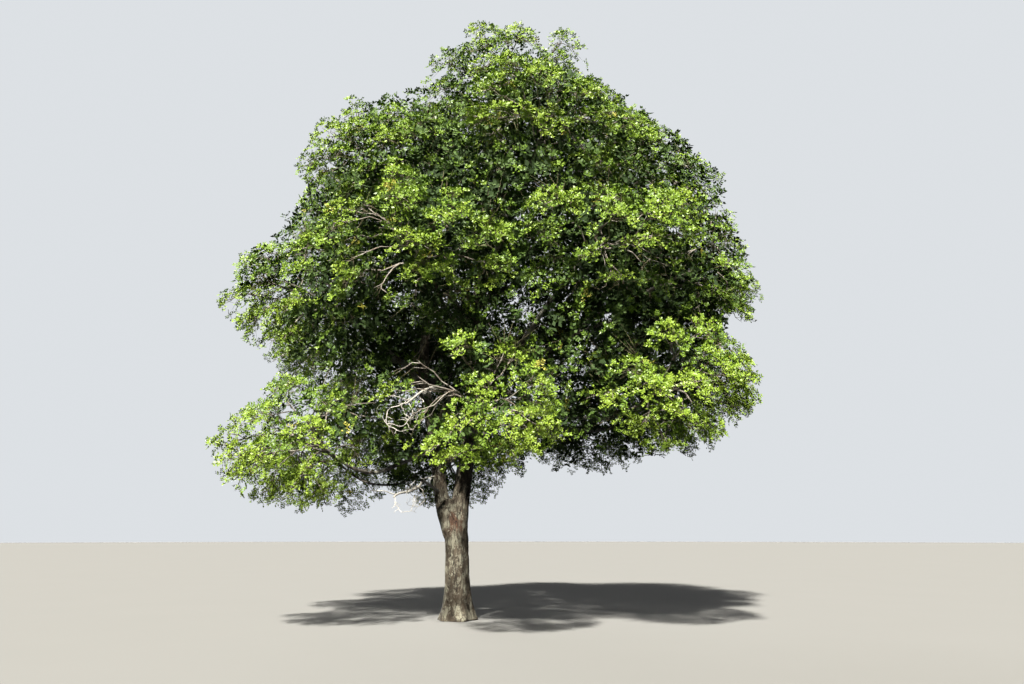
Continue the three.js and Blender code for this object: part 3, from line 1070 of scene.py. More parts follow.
class Bench:
    """Blender's modelling tools, used as by hand."""

    @staticmethod
    def clear() -> None:
        """Deselects everything."""
        bpy.ops.object.select_all(action="DESELECT")
        bpy.context.view_layer.objects.active = None

    @staticmethod
    def pick(*pieces: bpy.types.Object) -> None:
        """Selects these pieces alone.

        Args:
            pieces: The pieces. The first one becomes the active one.
        """
        Bench.clear()
        for piece in pieces:
            piece.select_set(True)
        bpy.context.view_layer.objects.active = pieces[0]

    @staticmethod
    def tube(name: str, frames: Frames, sides: int, swell: float = 1.0) -> bpy.types.Object:
        """A closed tube: a circle at each ring of a limb, all bridged, and both ends filled.

        Args:
            name: The piece's name.
            frames: The rings.
            sides: The corners of each circle.
            swell: The circles' radius over the limb's.

        Returns:
            The piece, with its place in its mesh.
        """
        Bench.clear()
        for i, middle in enumerate(frames.middles):
            axes = (frames.across[i], np.cross(frames.ways[i], frames.across[i]), frames.ways[i])
            turned = Matrix(np.array(axes).T.tolist()).to_euler()
            bpy.ops.mesh.primitive_circle_add(
                vertices=sides,
                radius=float(frames.radii[i] * MM * swell),
                location=Vector(middle * MM),
                rotation=turned,
            )
            if i == 0:
                bpy.ops.object.mode_set(mode="EDIT")
        bpy.ops.mesh.select_mode(type="EDGE")
        bpy.ops.mesh.select_all(action="SELECT")
        bpy.ops.mesh.bridge_edge_loops()
        bpy.ops.mesh.select_all(action="DESELECT")
        bpy.ops.mesh.select_non_manifold()
        bpy.ops.mesh.edge_face_add()
        bpy.ops.mesh.select_all(action="SELECT")
        bpy.ops.mesh.normals_make_consistent(inside=False)
        bpy.ops.object.mode_set(mode="OBJECT")
        piece = bpy.context.active_object
        piece.name = piece.data.name = name
        bpy.ops.object.transform_apply(location=True, rotation=True, scale=True)
        return piece

    @staticmethod
    def finish(piece: bpy.types.Object, kind: str, **settings: object) -> None:
        """Adds one modifier to a piece and applies it.

        Args:
            piece: The piece.
            kind: The modifier's type.
            settings: Its settings.
        """
        Bench.pick(piece)
        modifier = piece.modifiers.new(kind.lower(), kind)
        for key, value in settings.items():
            setattr(modifier, key, value)
        bpy.ops.object.modifier_apply(modifier=modifier.name)

    @staticmethod
    def join(name: str, pieces: Sequence[bpy.types.Object]) -> bpy.types.Object:
        """Makes one piece of several.

        Args:
            name: The new piece's name.
            pieces: The pieces that go into it.

        Returns:
            The new piece.
        """
        Bench.pick(*pieces)
        bpy.ops.object.join()
        joined = bpy.context.active_object
        joined.name = joined.data.name = name
        return joined

    @staticmethod
    def smooth(piece: bpy.types.Object) -> None:
        """Shades a piece smoothly."""
        Bench.pick(piece)
        bpy.ops.object.shade_smooth()


def rows_of(rows: bpy.types.bpy_prop_collection, key: str) -> Array:
    """Reads three numbers of each member of a mesh's collection.

    Args:
        rows: The collection.
        key: What is read.

    Returns:
        The numbers, three a row.
    """
    numbers = np.zeros(len(rows) * 3, np.float32)
    rows.foreach_get(key, numbers)
    return numbers.reshape(-1, 3).astype(float)


def vertices_of(piece: bpy.types.Object) -> Array:
    """A mesh's points, one a row, in metres."""
    return rows_of(piece.data.vertices, "co")


def normals_of(piece: bpy.types.Object) -> Array:
    """The outward way at each of a mesh's points."""
    return rows_of(piece.data.vertex_normals, "vector")


def move_vertices(piece: bpy.types.Object, places: Array) -> None:
    """Puts a mesh's points at new places."""
    piece.data.vertices.foreach_set("co", places.astype(np.float32).ravel())
    piece.data.update()


def carry(piece: bpy.types.Object, name: str, values: Array) -> None:
    """Writes numbers or vectors to a mesh's points, for its material to read.

    Args:
        piece: The piece.
        name: What the material reads them by.
        values: A number or a vector for each point.
    """
    kind, key = ("FLOAT_VECTOR", "vector") if values.ndim == 2 else ("FLOAT", "value")
    attribute = piece.data.attributes.new(name, kind, "POINT")
    attribute.data.foreach_set(key, values.astype(np.float32).ravel())


def mesh_piece(name: str, places: Array, corners: Array, counts: Array) -> bpy.types.Object:
    """A piece from arrays.

    Args:
        name: Its name.
        places: Its points, one a row, in metres.
        corners: The points of all its faces in turn.
        counts: How many corners each face has.

    Returns:
        The piece.
    """
    mesh = bpy.data.meshes.new(name)
    mesh.vertices.add(len(places))
    mesh.vertices.foreach_set("co", places.astype(np.float32).ravel())
    mesh.loops.add(len(corners))
    mesh.loops.foreach_set("vertex_index", corners.astype(np.int32))
    mesh.polygons.add(len(counts))
    starts = np.concatenate([[0], np.cumsum(counts)[:-1]])
    mesh.polygons.foreach_set("loop_start", starts.astype(np.int32))
    mesh.update(calc_edges=True)
    piece = bpy.data.objects.new(name, mesh)
    bpy.context.scene.collection.objects.link(piece)
    return piece


def place_piece(
    piece: bpy.types.Object, material: bpy.types.Material, nodes: Sequence[str]
) -> None:
    """Dresses a piece and ties it to the frame.

    Args:
        piece: The piece.
        material: Its finish.
        nodes: The solids that it stands for.
    """
    piece.data.materials.clear()
    piece.data.materials.append(material)
    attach(piece, "root")
    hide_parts(*nodes)
    faces = sum(len(face.vertices) - 2 for face in piece.data.polygons)
    LOG.info("%s: %d triangles, for %s", piece.name, faces, ", ".join(nodes[:3]))


GROUND_ROOM = 0.012  # metres over the ground up to which bark isn't raised or lowered
CUT_ROOM = 0.05  # the same for faces that look down


@dataclass
class Relief:
    """The shape of bark: slow lumps, long ridges between cracks, and flakes. Sizes in metres."""

    lump: float = 0.012
    ridge: float = 0.011
    flake: float = 0.004
    ridge_width: float = 0.05
    ridge_length: float = 0.34
    lump_width: float = 0.17
    knob_width: float = 0.07
    full_radius: float = 0.15
    rings: int = 160
    batch: int = 8000

    def grain(self, places: Array, limbs: Sequence[Limb]) -> tuple[Array, Array]:
        """Unrolls the bark of the nearest limb.

        Args:
            places: Points on the surface, in metres.
            limbs: The limbs that it belongs to.

        Returns:
            For each point, its place round and along the limb, in metres, and the limb's radius there.
        """
        sets = [limb.frames(self.rings) for limb in limbs]
        middles = np.concatenate([rings.middles for rings in sets]) * MM
        radii = np.concatenate([rings.radii for rings in sets]) * MM
        across = np.concatenate([rings.across for rings in sets])
        third = np.concatenate([rings.third for rings in sets])
        along = np.concatenate([sets[i].shares * limb.span * MM for i, limb in enumerate(limbs)])
        foot = np.repeat([limb.root * MM for limb in limbs], self.rings + 1)
        grain, thick = np.zeros_like(places), np.zeros(len(places))
        for first in range(0, len(places), self.batch):
            some = slice(first, first + self.batch)
            part = places[some]
            away = np.linalg.norm(part[:, None] - middles, axis=2) - radii
            near = away.argmin(1)
            out = part - middles[near]
            angle = np.arctan2((out * third[near]).sum(1), (out * across[near]).sum(1))
            round_it = np.stack([np.cos(angle), np.sin(angle)], 1) * foot[near][:, None]
            grain[some] = np.column_stack([round_it, along[near]])
            thick[some] = radii[near]
        return grain, thick

    def carve(self, piece: bpy.types.Object, limbs: Sequence[Limb], seed: int) -> None:
        """Raises the bark on a smooth piece, and writes its grain and relief for the finish.

        Args:
            piece: The piece.
            limbs: The limbs that it belongs to.
            seed: Its own pattern.
        """
        places, ways = vertices_of(piece), normals_of(piece)
        grain, thick = self.grain(places, limbs)
        size = np.array([self.ridge_width, self.ridge_width, self.ridge_length])
        bend = 0.6 * (crumple(grain / (2.2 * size), seed + 5)[:, None] - 0.5)
        folds = np.abs(2 * crumple(grain / size + bend, seed) - 1)
        fine = np.abs(2 * crumple(grain / (0.42 * size) + bend, seed + 1) - 1)
        ridge = np.clip(1.5 * folds, 0, 1) ** 0.7
        flake = np.clip(1.4 * fine, 0, 1)
        lump = crumple(places / self.lump_width, seed + 2)
        lump = lump + 0.5 * crumple(places / self.knob_width, seed + 3)
        scale = np.clip(thick / self.full_radius, 0.16, 1.0)
        height = self.lump * (lump - 0.75) + self.ridge * (ridge - 0.6) + self.flake * (flake - 0.6)
        moved = places + ways * (height * scale)[:, None]
        # The cut at the ground stays flat and level.
        up = places[:, 2]
        moved[:, 2] = np.where(up < GROUND_ROOM, up, moved[:, 2])
        level = np.clip(up / CUT_ROOM, 0, 1)
        moved = places + (moved - places) * np.where(ways[:, 2:] < -0.9, level[:, None], 1)
        move_vertices(piece, moved)
        carry(piece, "grain", grain)
        carry(piece, "relief", np.clip(0.6 * ridge + 0.4 * flake, 0, 1))


# The tree's wood


@dataclass
class Trunk:
    """The flared column and the two stems that it forks into, in one skin."""

    skeleton: Skeleton
    finish: BarkFinish
    voxel: float = 0.0165
    column_sides: int = 40
    column_rings: int = 24
    column_spread: float = 1.5
    stem_sides: int = 20
    stem_step: float = 85.0
    relief: Relief = field(default_factory=Relief)

    def _column(self) -> bpy.types.Object:
        """The column, with its root flare and flutes.

        Returns:
            The piece.
        """
        column = self.skeleton.column
        frames = column.frames(self.column_rings, self.column_spread)
        frames.radii = np.full(self.column_rings + 1, TRUNK_RADIUS)
        piece = Bench.tube("column", frames, self.column_sides)
        places = vertices_of(piece) / MM
        share = np.clip(places[:, 2] / COLUMN_HEIGHT, 0, 1)
        middles = column.points(share)
        out = places - middles
        angle = np.arctan2(-out[:, 1], out[:, 0])
        foot = np.exp(-share * COLUMN_HEIGHT / FLARE_HEIGHT)
        lobes = np.cos(ROOT_LOBES * angle + 0.6) + 0.5 * np.cos(3 * angle + 2)
        flute = FLUTE_DEPTH * np.cos(4 * angle + 1.5 * share)
        grown = 1 + FLARE * foot + LOBE_DEPTH * foot * lobes + flute
        places[:, :2] = middles[:, :2] + out[:, :2] * grown[:, None]
        move_vertices(piece, places * MM)
        return piece

    def build(self) -> None:
        """Models the skin, dresses it and ties it to the frame."""
        parts = [self._column()]
        for stem in self.skeleton.stems:
            frames = stem.frames(int(stem.span / self.stem_step))
            parts.append(Bench.tube(stem.name, frames, self.stem_sides))
        piece = Bench.join("trunk_and_stems", parts)
        Bench.finish(piece, "REMESH", mode="VOXEL", voxel_size=self.voxel)
        Bench.finish(piece, "SMOOTH", factor=0.6, iterations=3)
        limbs = [self.skeleton.column, *self.skeleton.stems]
        self.relief.carve(piece, limbs, TRUNK_BARK_SEED)
        Bench.smooth(piece)
        place_piece(piece, self.finish.make(), ["trunk", "left_stem", "right_stem"])


@dataclass
class Boughs:
    """The boughs of one tier, each from inside its parent to its mass."""

    skeleton: Skeleton
    tier: Tier
    material: bpy.types.Material
    sides: int = 8
    ring_step: float = 150.0
    least_rings: int = 12
    swell: float = 1.1
    relief: Relief = field(default_factory=lambda: Relief(0.012, 0.008, 0.003, 0.03, 0.2))

    def build(self) -> None:
        """Models the boughs, dresses them and ties them to the frame."""
        pieces, names = [], []
        for limb in self.skeleton.limbs:
            if limb.is_stem or limb.mass.tier is not self.tier:
                continue
            frames = limb.frames(max(self.least_rings, int(limb.span / self.ring_step)))
            piece = Bench.tube(limb.name, frames, self.sides, self.swell)
            Bench.finish(piece, "SUBSURF", levels=2, render_levels=2)
            self.relief.carve(piece, [limb], limb.seed)
            pieces.append(piece)
            names.append(limb.name)
        piece = Bench.join(f"{self.tier.name}_boughs", pieces)
        Bench.smooth(piece)
        place_piece(piece, self.material, names)


@dataclass(frozen=True)
class Curl:
    """A thin dead twig that curls round, seen from the front.

    Sizes are in millimetres, and its first place and sweep round the curl in degrees from the right
    upwards.
    """

    at: float
    first: float
    sweep: float
    radius: float
    thick: float = 9.0
    lean: float = 0.3
    rings: int = 21
    spurs: int = 7

    def frames(self, limb: Limb) -> Frames:
        """The rings along it.

        Args:
            limb: The limb that carries it.

        Returns:
            The rings, from its place on the limb.
        """
        shares = np.arange(self.rings + 1) / self.rings
        turn = np.radians(self.first + self.sweep * shares)
        wave = 1 + 0.1 * np.sin(9 * shares + self.first) + 0.07 * np.sin(27 * shares + self.radius)
        wave = wave - 0.2 * shares
        lean = self.lean * np.sin(turn) + 0.12 * np.sin(17 * shares + self.sweep)
        ring = self.radius * wave[:, None] * np.stack([np.cos(turn), lean, np.sin(turn)], 1)
        middles = limb.points(self.at) + ring - ring[0]
        ways = unit(np.gradient(middles, axis=0))
        return Frames.along(shares, middles, ways, self.thick * (1 - 0.66 * shares))

    def twiglets(self, frames: Frames, seed: int) -> list[Limb]:
        """The short side twiglets along it, out to both sides.

        Args:
            frames: The rings along it.
            seed: What their lengths and ways come from.

        Returns:
            The twiglets.
        """
        dice = Dice(seed + int(self.radius))
        found = []
        for k in range(self.spurs):
            ring = int(dice.roll(3, len(frames.shares) - 1))
            foot, way = frames.middles[ring], frames.ways[ring]
            side = point(-way[2], dice.roll(-0.5, 0.5), way[0]) * (1 if k % 2 else -1)
            out = unit(way * dice.roll(0.2, 0.9) + side)
            tip = foot + out * dice.roll(0.2, 0.6) * self.radius
            ends = foot, out, tip, out + way * dice.roll(-0.9, 0.9)
            sizes = 0.72 * float(frames.radii[ring]), 2.2, seed + k, 0.09
            found.append(Limb("spur", *ends, *sizes))
        return found


@dataclass
class DeadLimb:
    """A bare limb low on the front, with its broken twigs, finer twiglets and curled twigs."""

    skeleton: Skeleton
    limb: Limb
    material: bpy.types.Material
    curls: tuple[Curl, ...]
    twiglets: int = 4
    sides: int = 6
    spur_sides: int = 5
    ring_step: float = 75.0
    least_rings: int = 4
    swell: float = 1.12
    relief: Relief = field(default_factory=lambda: Relief(0.008, 0.006, 0.003, 0.02, 0.2))

    def _twiglets(self) -> list[Limb]:
        """The twiglets on the limb's own twigs.

        Returns:
            The twiglets, to both sides of each twig.
        """
        dice = Dice(self.limb.seed + 40)
        found = []
        for twig in self.limb.twigs:
            for k in range(self.twiglets):
                t = 0.3 + 0.2 * k
                foot = twig.points(t)
                side = np.cross(unit(twig.end - twig.start), UP) * (1 if k % 2 else -1)
                way = unit(twig.ways(t) + 1.1 * side + UP * dice.roll(-0.5, 0.6))
                tip = foot + way * dice.roll(90, 190)
                ends = foot, way, tip, way + UP * dice.roll(-0.4, 0.5)
                sizes = 0.6 * float(twig.radii(t)), 2.5, twig.seed + 7 * k, 0.07
                found.append(Limb(f"{twig.name}_{k}", *ends, *sizes))
        return found

    def build(self) -> None:
        """Models the limb, dresses it and ties it to the frame."""
        parts = []
        for limb in (self.limb, *self.limb.twigs, *self._twiglets()):
            frames = limb.frames(max(self.least_rings, int(limb.span / self.ring_step)))
            piece = Bench.tube(limb.name, frames, self.sides, self.swell)
            Bench.finish(piece, "SUBSURF", levels=1, render_levels=1)
            self.relief.carve(piece, [limb], limb.seed)
            parts.append(piece)
        for k, curl in enumerate(self.curls):
            frames = curl.frames(self.limb)
            parts.append(Bench.tube(f"{self.limb.name}_curl_{k}", frames, self.sides, self.swell))
            Bench.finish(parts[-1], "SUBSURF", levels=1, render_levels=1)
            for spur in curl.twiglets(frames, self.limb.seed + k):
                parts.append(Bench.tube(spur.name, spur.frames(4), self.spur_sides, self.swell))
        piece = Bench.join(f"{self.limb.name}_wood", parts)
        Bench.smooth(piece)
        place_piece(piece, self.material, [self.limb.name])


DEAD_CURLS = (
    (
        Curl(0.98, 80, 250, 290, 11),
        Curl(0.9, 100, 200, 200, 9),
        Curl(0.8, 60, -170, 260, 8),
        Curl(0.68, 250, 190, 200, 8),
        Curl(0.94, 30, -230, 330, 8),
    ),
    (
        Curl(0.97, 160, 210, 210, 9),
        Curl(0.8, 120, -150, 170, 8),
        Curl(0.6, 60, -200, 230, 7),
    ),
)


# Foliage


class TwigBundle:
    """Many thin twigs, gathered as arrays and joined into one piece."""

    def __init__(self) -> None:
        """Starts an empty bundle."""
        self.places: list[Array] = []
        self.corners: list[Array] = []
        self.counts: list[Array] = []
        self.size = 0

    def add(self, middles: Array, radii: Array, sides: int) -> None:
        """Adds twigs that all have the same number of rings. Each ends in a point.

        Args:
            middles: The rings' middles, in metres: twigs by rings by 3. The last one is the tip.
            radii: The rings' radii: twigs by rings but the last.
            sides: The corners of each ring.
        """
        count, rings = len(middles), middles.shape[1] - 1
        ways = unit(np.gradient(middles, axis=1))[:, :-1]
        across = unit(np.cross(ways, np.where(np.abs(ways[..., 2:]) > 0.9, [1.0, 0, 0], UP)))
        third = np.cross(ways, across)
        angle = 2 * np.pi * np.arange(sides) / sides
        ring = np.cos(angle)[:, None] * across[:, :, None] + np.sin(angle)[:, None] * third[:, :, None]
        shell = middles[:, :-1, None] + ring * radii[..., None, None]
        places = np.concatenate([shell.reshape(count, -1, 3), middles[:, -1:]], 1)
        here = np.arange(sides)
        after = (here + 1) % sides
        wall = np.stack([here, after, after + sides, here + sides], 1).ravel()
        walls = [wall + k * sides for k in range(rings - 1)]
        last = (rings - 1) * sides
        tips = np.stack([here + last, after + last, np.full(sides, rings * sides)], 1)
        foot = here[::-1]
        pattern = np.concatenate([*walls, tips.ravel(), foot])
        counts = np.array([4] * (sides * (rings - 1)) + [3] * sides + [sides])
        step = rings * sides + 1
        offset = self.size + step * np.arange(count)[:, None]
        self.places.append(places.reshape(-1, 3))
        self.corners.append((pattern[None] + offset).ravel())
        self.counts.append(np.tile(counts, count))
        self.size += step * count

    def build(self, name: str) -> bpy.types.Object:
        """Joins the bundle.

        Args:
            name: The piece's name.

        Returns:
            The piece, shaded smoothly.
        """
        gathered = (np.concatenate(x) for x in (self.places, self.corners, self.counts))
        piece = mesh_piece(name, *gathered)
        piece.data.polygons.foreach_set("use_smooth", np.ones(len(piece.data.polygons), bool))
        return piece


@dataclass(frozen=True)
class LeafPattern:
    """One leaf of paired, lopsided leaflets along a stalk. Sizes are shares of its length."""

    end: float = 0.92
    stalk: float = 0.16
    leaflet: float = 0.4
    width: float = 0.23
    lean: float = 0.5
    lift: float = 0.12
    twist: float = 0.05
    thickness: float = 0.012

    def shape(self, pairs: int, broad: float) -> tuple[Array, Array]:
        """The leaf's points and triangles: along the stalk, to the side, and up.

        Args:
            pairs: How many pairs of leaflets it has.
            broad: How many times the pattern's width its leaflets have.

        Returns:
            The points, one a row, and the triangles' corners, three a row.
        """
        points = [(0.0, 0.0, 0.0), (self.end, self.thickness, 0.0), (self.end, -self.thickness, 0.0)]
        faces = [(0, 2, 1)]
        pitch = (self.end - self.stalk) / pairs
        longest = self.leaflet * (3 / pairs) ** 0.6
        for pair in range(pairs):
            foot = np.array([self.stalk + pitch * (pair + 0.4), 0.0])
            length = longest * (0.88 + 0.12 * math.sin(math.pi * (pair + 0.5) / pairs))
            lean = self.lean + 0.2 * pair
            lift = self.lift * (0.6 if pair % 2 else 1.0)
            for side in (1, -1):
                way = np.array([math.sin(lean), side * math.cos(lean)])
                cross = np.array([way[1], -way[0]]) * side
                fore = foot + way * length * 0.36 + cross * broad * self.width * 0.4
                back = foot + way * length * 0.5 - cross * broad * self.width * 0.52
                turn = self.twist if (pair + (side > 0)) % 2 else -self.twist
                first = len(points)
                points += [(*foot, 0.0), (*(foot + way * length), lift)]
                points += [(*fore, 0.45 * lift + turn), (*back, 0.45 * lift - turn)]
                order = [(0, 1, 2), (0, 3, 1)] if side < 0 else [(0, 2, 1), (0, 1, 3)]
                faces += [tuple(first + k for k in face) for face in order]
        return np.array(points), np.array(faces)


@dataclass(frozen=True)
class LeafKind:
    """One kind of leaf: its finish, its share of the rosettes, and its leaves' number, size and breadth."""

    finish: LeafFinish
    share: float
    leaves: int = 5
    growth: float = 1.0
    broad: float = 1.0
    pairs: int = 3


class Leaves(Enum):
    """The kinds of leaves, from the sunniest to the most shaded, then the old ones.

    Their base colours are painted light and shade: the sunny kinds are paler and yellower, partly as fresh
    growth and partly as painted sunlight, and the others are darker the deeper they are, as painted shade.
    """

    LIME = LeafKind(LeafFinish("lime_leaf", (0.2, 0.305, 0.026), (0.262, 0.365, 0.036)), 0.14)
    SUNNY = LeafKind(LeafFinish("sunny_leaf", (0.175, 0.28, 0.023), (0.228, 0.338, 0.032)), 0.14)
    BRIGHT = LeafKind(LeafFinish("bright_leaf", (0.145, 0.245, 0.02), (0.192, 0.298, 0.027)), 0.14)
    MID = LeafKind(
        LeafFinish("mid_leaf", (0.085, 0.155, 0.014), (0.132, 0.218, 0.02)),
        share=0.185,
        leaves=4,
        growth=1.15,
        broad=1.05,
    )
    DEEP_SHADE = LeafKind(
        LeafFinish("deep_shade_leaf", (0.04, 0.082, 0.009), (0.068, 0.125, 0.013), 0.6),
        share=0.19,
        leaves=4,
        growth=1.45,
        broad=1.2,
    )
    SHADED = LeafKind(
        LeafFinish("shaded_leaf", (0.017, 0.037, 0.006), (0.03, 0.062, 0.009), 0.8),
        share=0.205,
        leaves=4,
        growth=1.9,
        broad=1.35,
        pairs=2,
    )
    OLD = LeafKind(LeafFinish("old_leaf", (0.3, 0.27, 0.035), (0.36, 0.35, 0.05), 0.6), 0.007)


# What the front of the crown shows

NO_DEPTH = 99.0


def seen(spots: Array, eye: Array) -> Array:
    """Where the lines from the eye through spots meet the trunk's upright plane: x and z, one a row."""
    share = eye[1] / (eye[1] - spots[:, 1:2])
    return (eye + (spots - eye) * share)[:, [0, 2]]


@dataclass(frozen=True)
class Opening:
    """A round place where the crown is thin, seen from the front. Lengths are in metres.

    Sky shows in it, or bare limbs in a dark hollow, where only leaves in front of depth are thinned.
    """

    x: float
    z: float
    radius: float
    kept: float = 0.0
    depth: float = NO_DEPTH

    def holds(self, spots: Array, eye: Array) -> Array:
        """Which spots it holds, for spots and the eye in metres."""
        away = np.linalg.norm(seen(spots, eye) - [self.x, self.z], axis=1)
        return (spots[:, 1] < self.depth) & (away < self.radius)


@dataclass(frozen=True)
class Edge:
    """The crown's right edge, seen from the front: how far it reaches at each height, in metres."""

    heights: tuple[float, ...]
    reaches: tuple[float, ...]

    def holds(self, spots: Array, eye: Array) -> Array:
        """Which spots are inside it, for spots and the eye in metres."""
        x, z = seen(spots, eye).T
        return x < np.interp(z, self.heights, self.reaches)


@dataclass(frozen=True)
class Shaft:
    """A way in for the sun to a place that it lights, thin of leaves. Lengths are in metres."""

    lit: Place
    radius: float = 0.4
    kept: float = 0.06

    def holds(self, spots: Array, sun: Array) -> Array:
        """Which spots it holds.

        Args:
            spots: The spots, in metres.
            sun: Where the sun stands.

        Returns:
            True or False for each spot.
        """
        way = unit(sun - self.lit)
        along = (spots - self.lit) @ way
        away = np.linalg.norm(spots - self.lit - along[:, None] * way, axis=1)
        return (along > 0) & (away < self.radius)


RIGHT_EDGE = Edge(
    heights=(3.4, 4.0, 4.4, 5.2, 5.7, 6.3, 7.1, 7.7, 8.2, 8.9, 9.9, 10.8, 11.8),
    reaches=(5.1, 5.8, 6.5, 6.3, 5.9, 6.7, 6.3, 6.0, 5.8, 6.0, 5.2, 4.0, 2.8),
)
SKY_HOLES = (
    Opening(4.53, 7.95, 0.2),
    Opening(5.44, 8.4, 0.18),
    Opening(3.09, 6.05, 0.16),
    Opening(3.68, 6.0, 0.22, 0.2),
    Opening(5.72, 5.85, 0.3),
)
HOLLOWS = (
    Opening(3.77, 6.95, 1.1, 0.4, -1.2),
    Opening(-0.9, 5.1, 0.62, 0.06, -0.5),
    Opening(-1.0, 3.9, 0.5, 0.05, -2.3),
    Opening(-0.35, 4.3, 0.4, 0.1, -2.3),
    Opening(-1.15, 2.55, 0.35, 0.0, -1.2),
)
SHAFTS = (
    Shaft((-0.75, -2.6, 3.8)),
    Shaft((-0.5, -1.8, 4.0)),
    Shaft((-1.0, -1.8, 2.3)),
    Shaft((-0.15, -0.3, 1.4), 0.34, 0.25),
    Shaft((-0.12, -0.25, 2.1), 0.36, 0.2),
    Shaft((-0.35, -0.2, 2.7), 0.3, 0.2),
)


@dataclass(frozen=True)
class FrontView:
    """What the front of the crown shows: its right edge, its openings and the sun's ways in.

    The eye and the sun are in metres, and all spots in millimetres.
    """

    eye: Place
    sun: Place
    backing: float = 1.2

    def inside(self, spots: Array, margin: float = 0.0) -> Array:
        """Which spots are inside the right edge by a margin."""
        return RIGHT_EDGE.holds((spots + point(margin, 0, 0)) * MM, np.array(self.eye))

    def behind_hollow(self, spots: Array) -> Array:
        """Which spots stand behind a dark hollow.

        Args:
            spots: The spots, one a row.

        Returns:
            True or False for each spot.
        """
        found = np.zeros(len(spots), bool)
        for hollow in HOLLOWS:
            wide = replace(hollow, radius=self.backing * hollow.radius, depth=NO_DEPTH)
            found |= wide.holds(spots * MM, np.array(self.eye)) & (spots[:, 1] * MM > hollow.depth)
        return found

    def shows(self, spots: Array, random: np.random.Generator) -> Array:
        """Which spots carry leaves.

        Args:
            spots: The spots, one a row.
            random: What decides on the few that are kept in an opening or a shaft.

        Returns:
            True or False for each spot.
        """
        kept = self.inside(spots)
        places = spots * MM
        for opening in (*SKY_HOLES, *HOLLOWS):
            chance = random.random(len(places)) < opening.kept
            kept &= chance | ~opening.holds(places, np.array(self.eye))
        for shaft in SHAFTS:
            chance = random.random(len(places)) < shaft.kept
            kept &= chance | ~shaft.holds(places, np.array(self.sun))
        return kept


@dataclass(frozen=True)
class SprayShape:
    """The shape of the flat-topped sprays. Lengths are in millimetres, and most others are shares."""

    reach: float = 440.0
    reach_play: float = 0.25
    spacing: float = 152.0
    open_air: tuple[float, ...] = (0.45, 0.75, 0.95)
    thinned: tuple[float, ...] = (0.35, 0.8, 1.0)
    outward: float = 0.5
    aside: float = 0.25
    tilt: float = 0.16
    forwards: float = 0.2
    lift: float = 60.0
    lobes: float = 0.17
    small_lobes: float = 0.1
    nests: int = 4
    nest_ring: float = 0.6
    scatter: float = 26.0
    nest_scatter: float = 40.0
    nest_rise: float = 55.0
    nest_width: float = 200.0
    nest_drop: float = 60.0
    edge_drop: float = 250.0
    edge_round: float = 2.2
    roughness: float = 30.0
    hub_depth: float = 130.0


class Spray:
    """One flat-topped spray: the way it faces, the nests that its rosettes gather in, and their spots."""

    def __init__(self, shape: SprayShape, twig: Limb, mass: Mass, random: np.random.Generator) -> None:
        """Lays out the spray at the end of a main twig.

        Args:
            shape: Its shape.
            twig: The main twig.
            mass: The mass that it belongs to.
            random: What its own play comes from.
        """
        out = unit(twig.end - mass.middle)
        open_way = (twig.end - CROWN_MIDDLE) / CROWN_SIZE
        thin = np.interp(float(np.linalg.norm(open_way)), shape.open_air, shape.thinned)
        level = unit(out * [1, 1, 0] + 1e-6)
        tilted = UP + shape.outward * unit(open_way) + shape.aside * out
        self.face = unit(tilted + random.normal(0, shape.tilt, 3))
        self.across = unit(np.cross(self.face, level))
        self.ahead = np.cross(self.across, self.face)
        self.reach = shape.reach * random.uniform(1 - shape.reach_play, 1 + shape.reach_play)
        self.depth = shape.hub_depth
        self.centre = twig.end + self.ahead * self.reach * shape.forwards + self.face * shape.lift
        count = int(thin * math.pi * (self.reach / shape.spacing) ** 2)
        radius, spread = self._spread(count, shape, random)
        turn = random.uniform(0, ANY_TURN)
        ring = turn + 2 * np.pi * np.arange(shape.nests - 1) / (shape.nests - 1)
        nests = shape.nest_ring * self.reach * np.stack([np.cos(ring), np.sin(ring)], 1)
        scattered = nests + random.normal(0, shape.nest_scatter, nests.shape)
        self.nests = np.concatenate([[[0.0, 0.0]], scattered])
        apart = np.linalg.norm(spread[:, None] - self.nests, axis=2)
        self.nest = apart.argmin(1)
        self.rises = random.normal(0, shape.nest_rise, len(self.nests))
        drop = shape.nest_drop * (apart.min(1) / shape.nest_width) ** 2
        edge = shape.edge_drop * (radius / self.reach) ** shape.edge_round
        drop = drop + edge - self.rises[self.nest]
        self.drop = drop + random.normal(0, shape.roughness, count)
        flat = self.centre + spread[:, :1] * self.ahead + spread[:, 1:] * self.across
        self.spots = flat - self.drop[:, None] * self.face

    def _spread(self, count: int, shape: SprayShape, random: np.random.Generator) -> tuple[Array, Array]:
        """Spreads rosettes evenly over the spray, out to a lobed edge.

        Args:
            count: How many there are.
            shape: The spray's shape.
            random: What their own play comes from.

        Returns:
            How far each is from the centre, and its places ahead and across.
        """
        k = np.arange(count)
        angle = k * GOLDEN + random.uniform(0, ANY_TURN)
        lobes = 1 + shape.lobes * np.cos(3 * angle + random.uniform(0, ANY_TURN))
        lobes = lobes + shape.small_lobes * np.cos(5 * angle + random.uniform(0, ANY_TURN))
        radius = self.reach * np.sqrt((k + 0.5) / count) * lobes
        spread = np.stack([radius * np.cos(angle), radius * np.sin(angle)], 1)
        return radius, spread + random.normal(0, shape.scatter, spread.shape)

    def hub(self, nest: int) -> Array:
        """The end of the side twig that carries one nest.

        Args:
            nest: The nest's number.

        Returns:
            The point.
        """
        place = self.nests[nest]
        deep = self.depth + self.depth * np.linalg.norm(place) / self.reach - self.rises[nest]
        return self.centre + place[0] * self.ahead + place[1] * self.across - self.face * deep


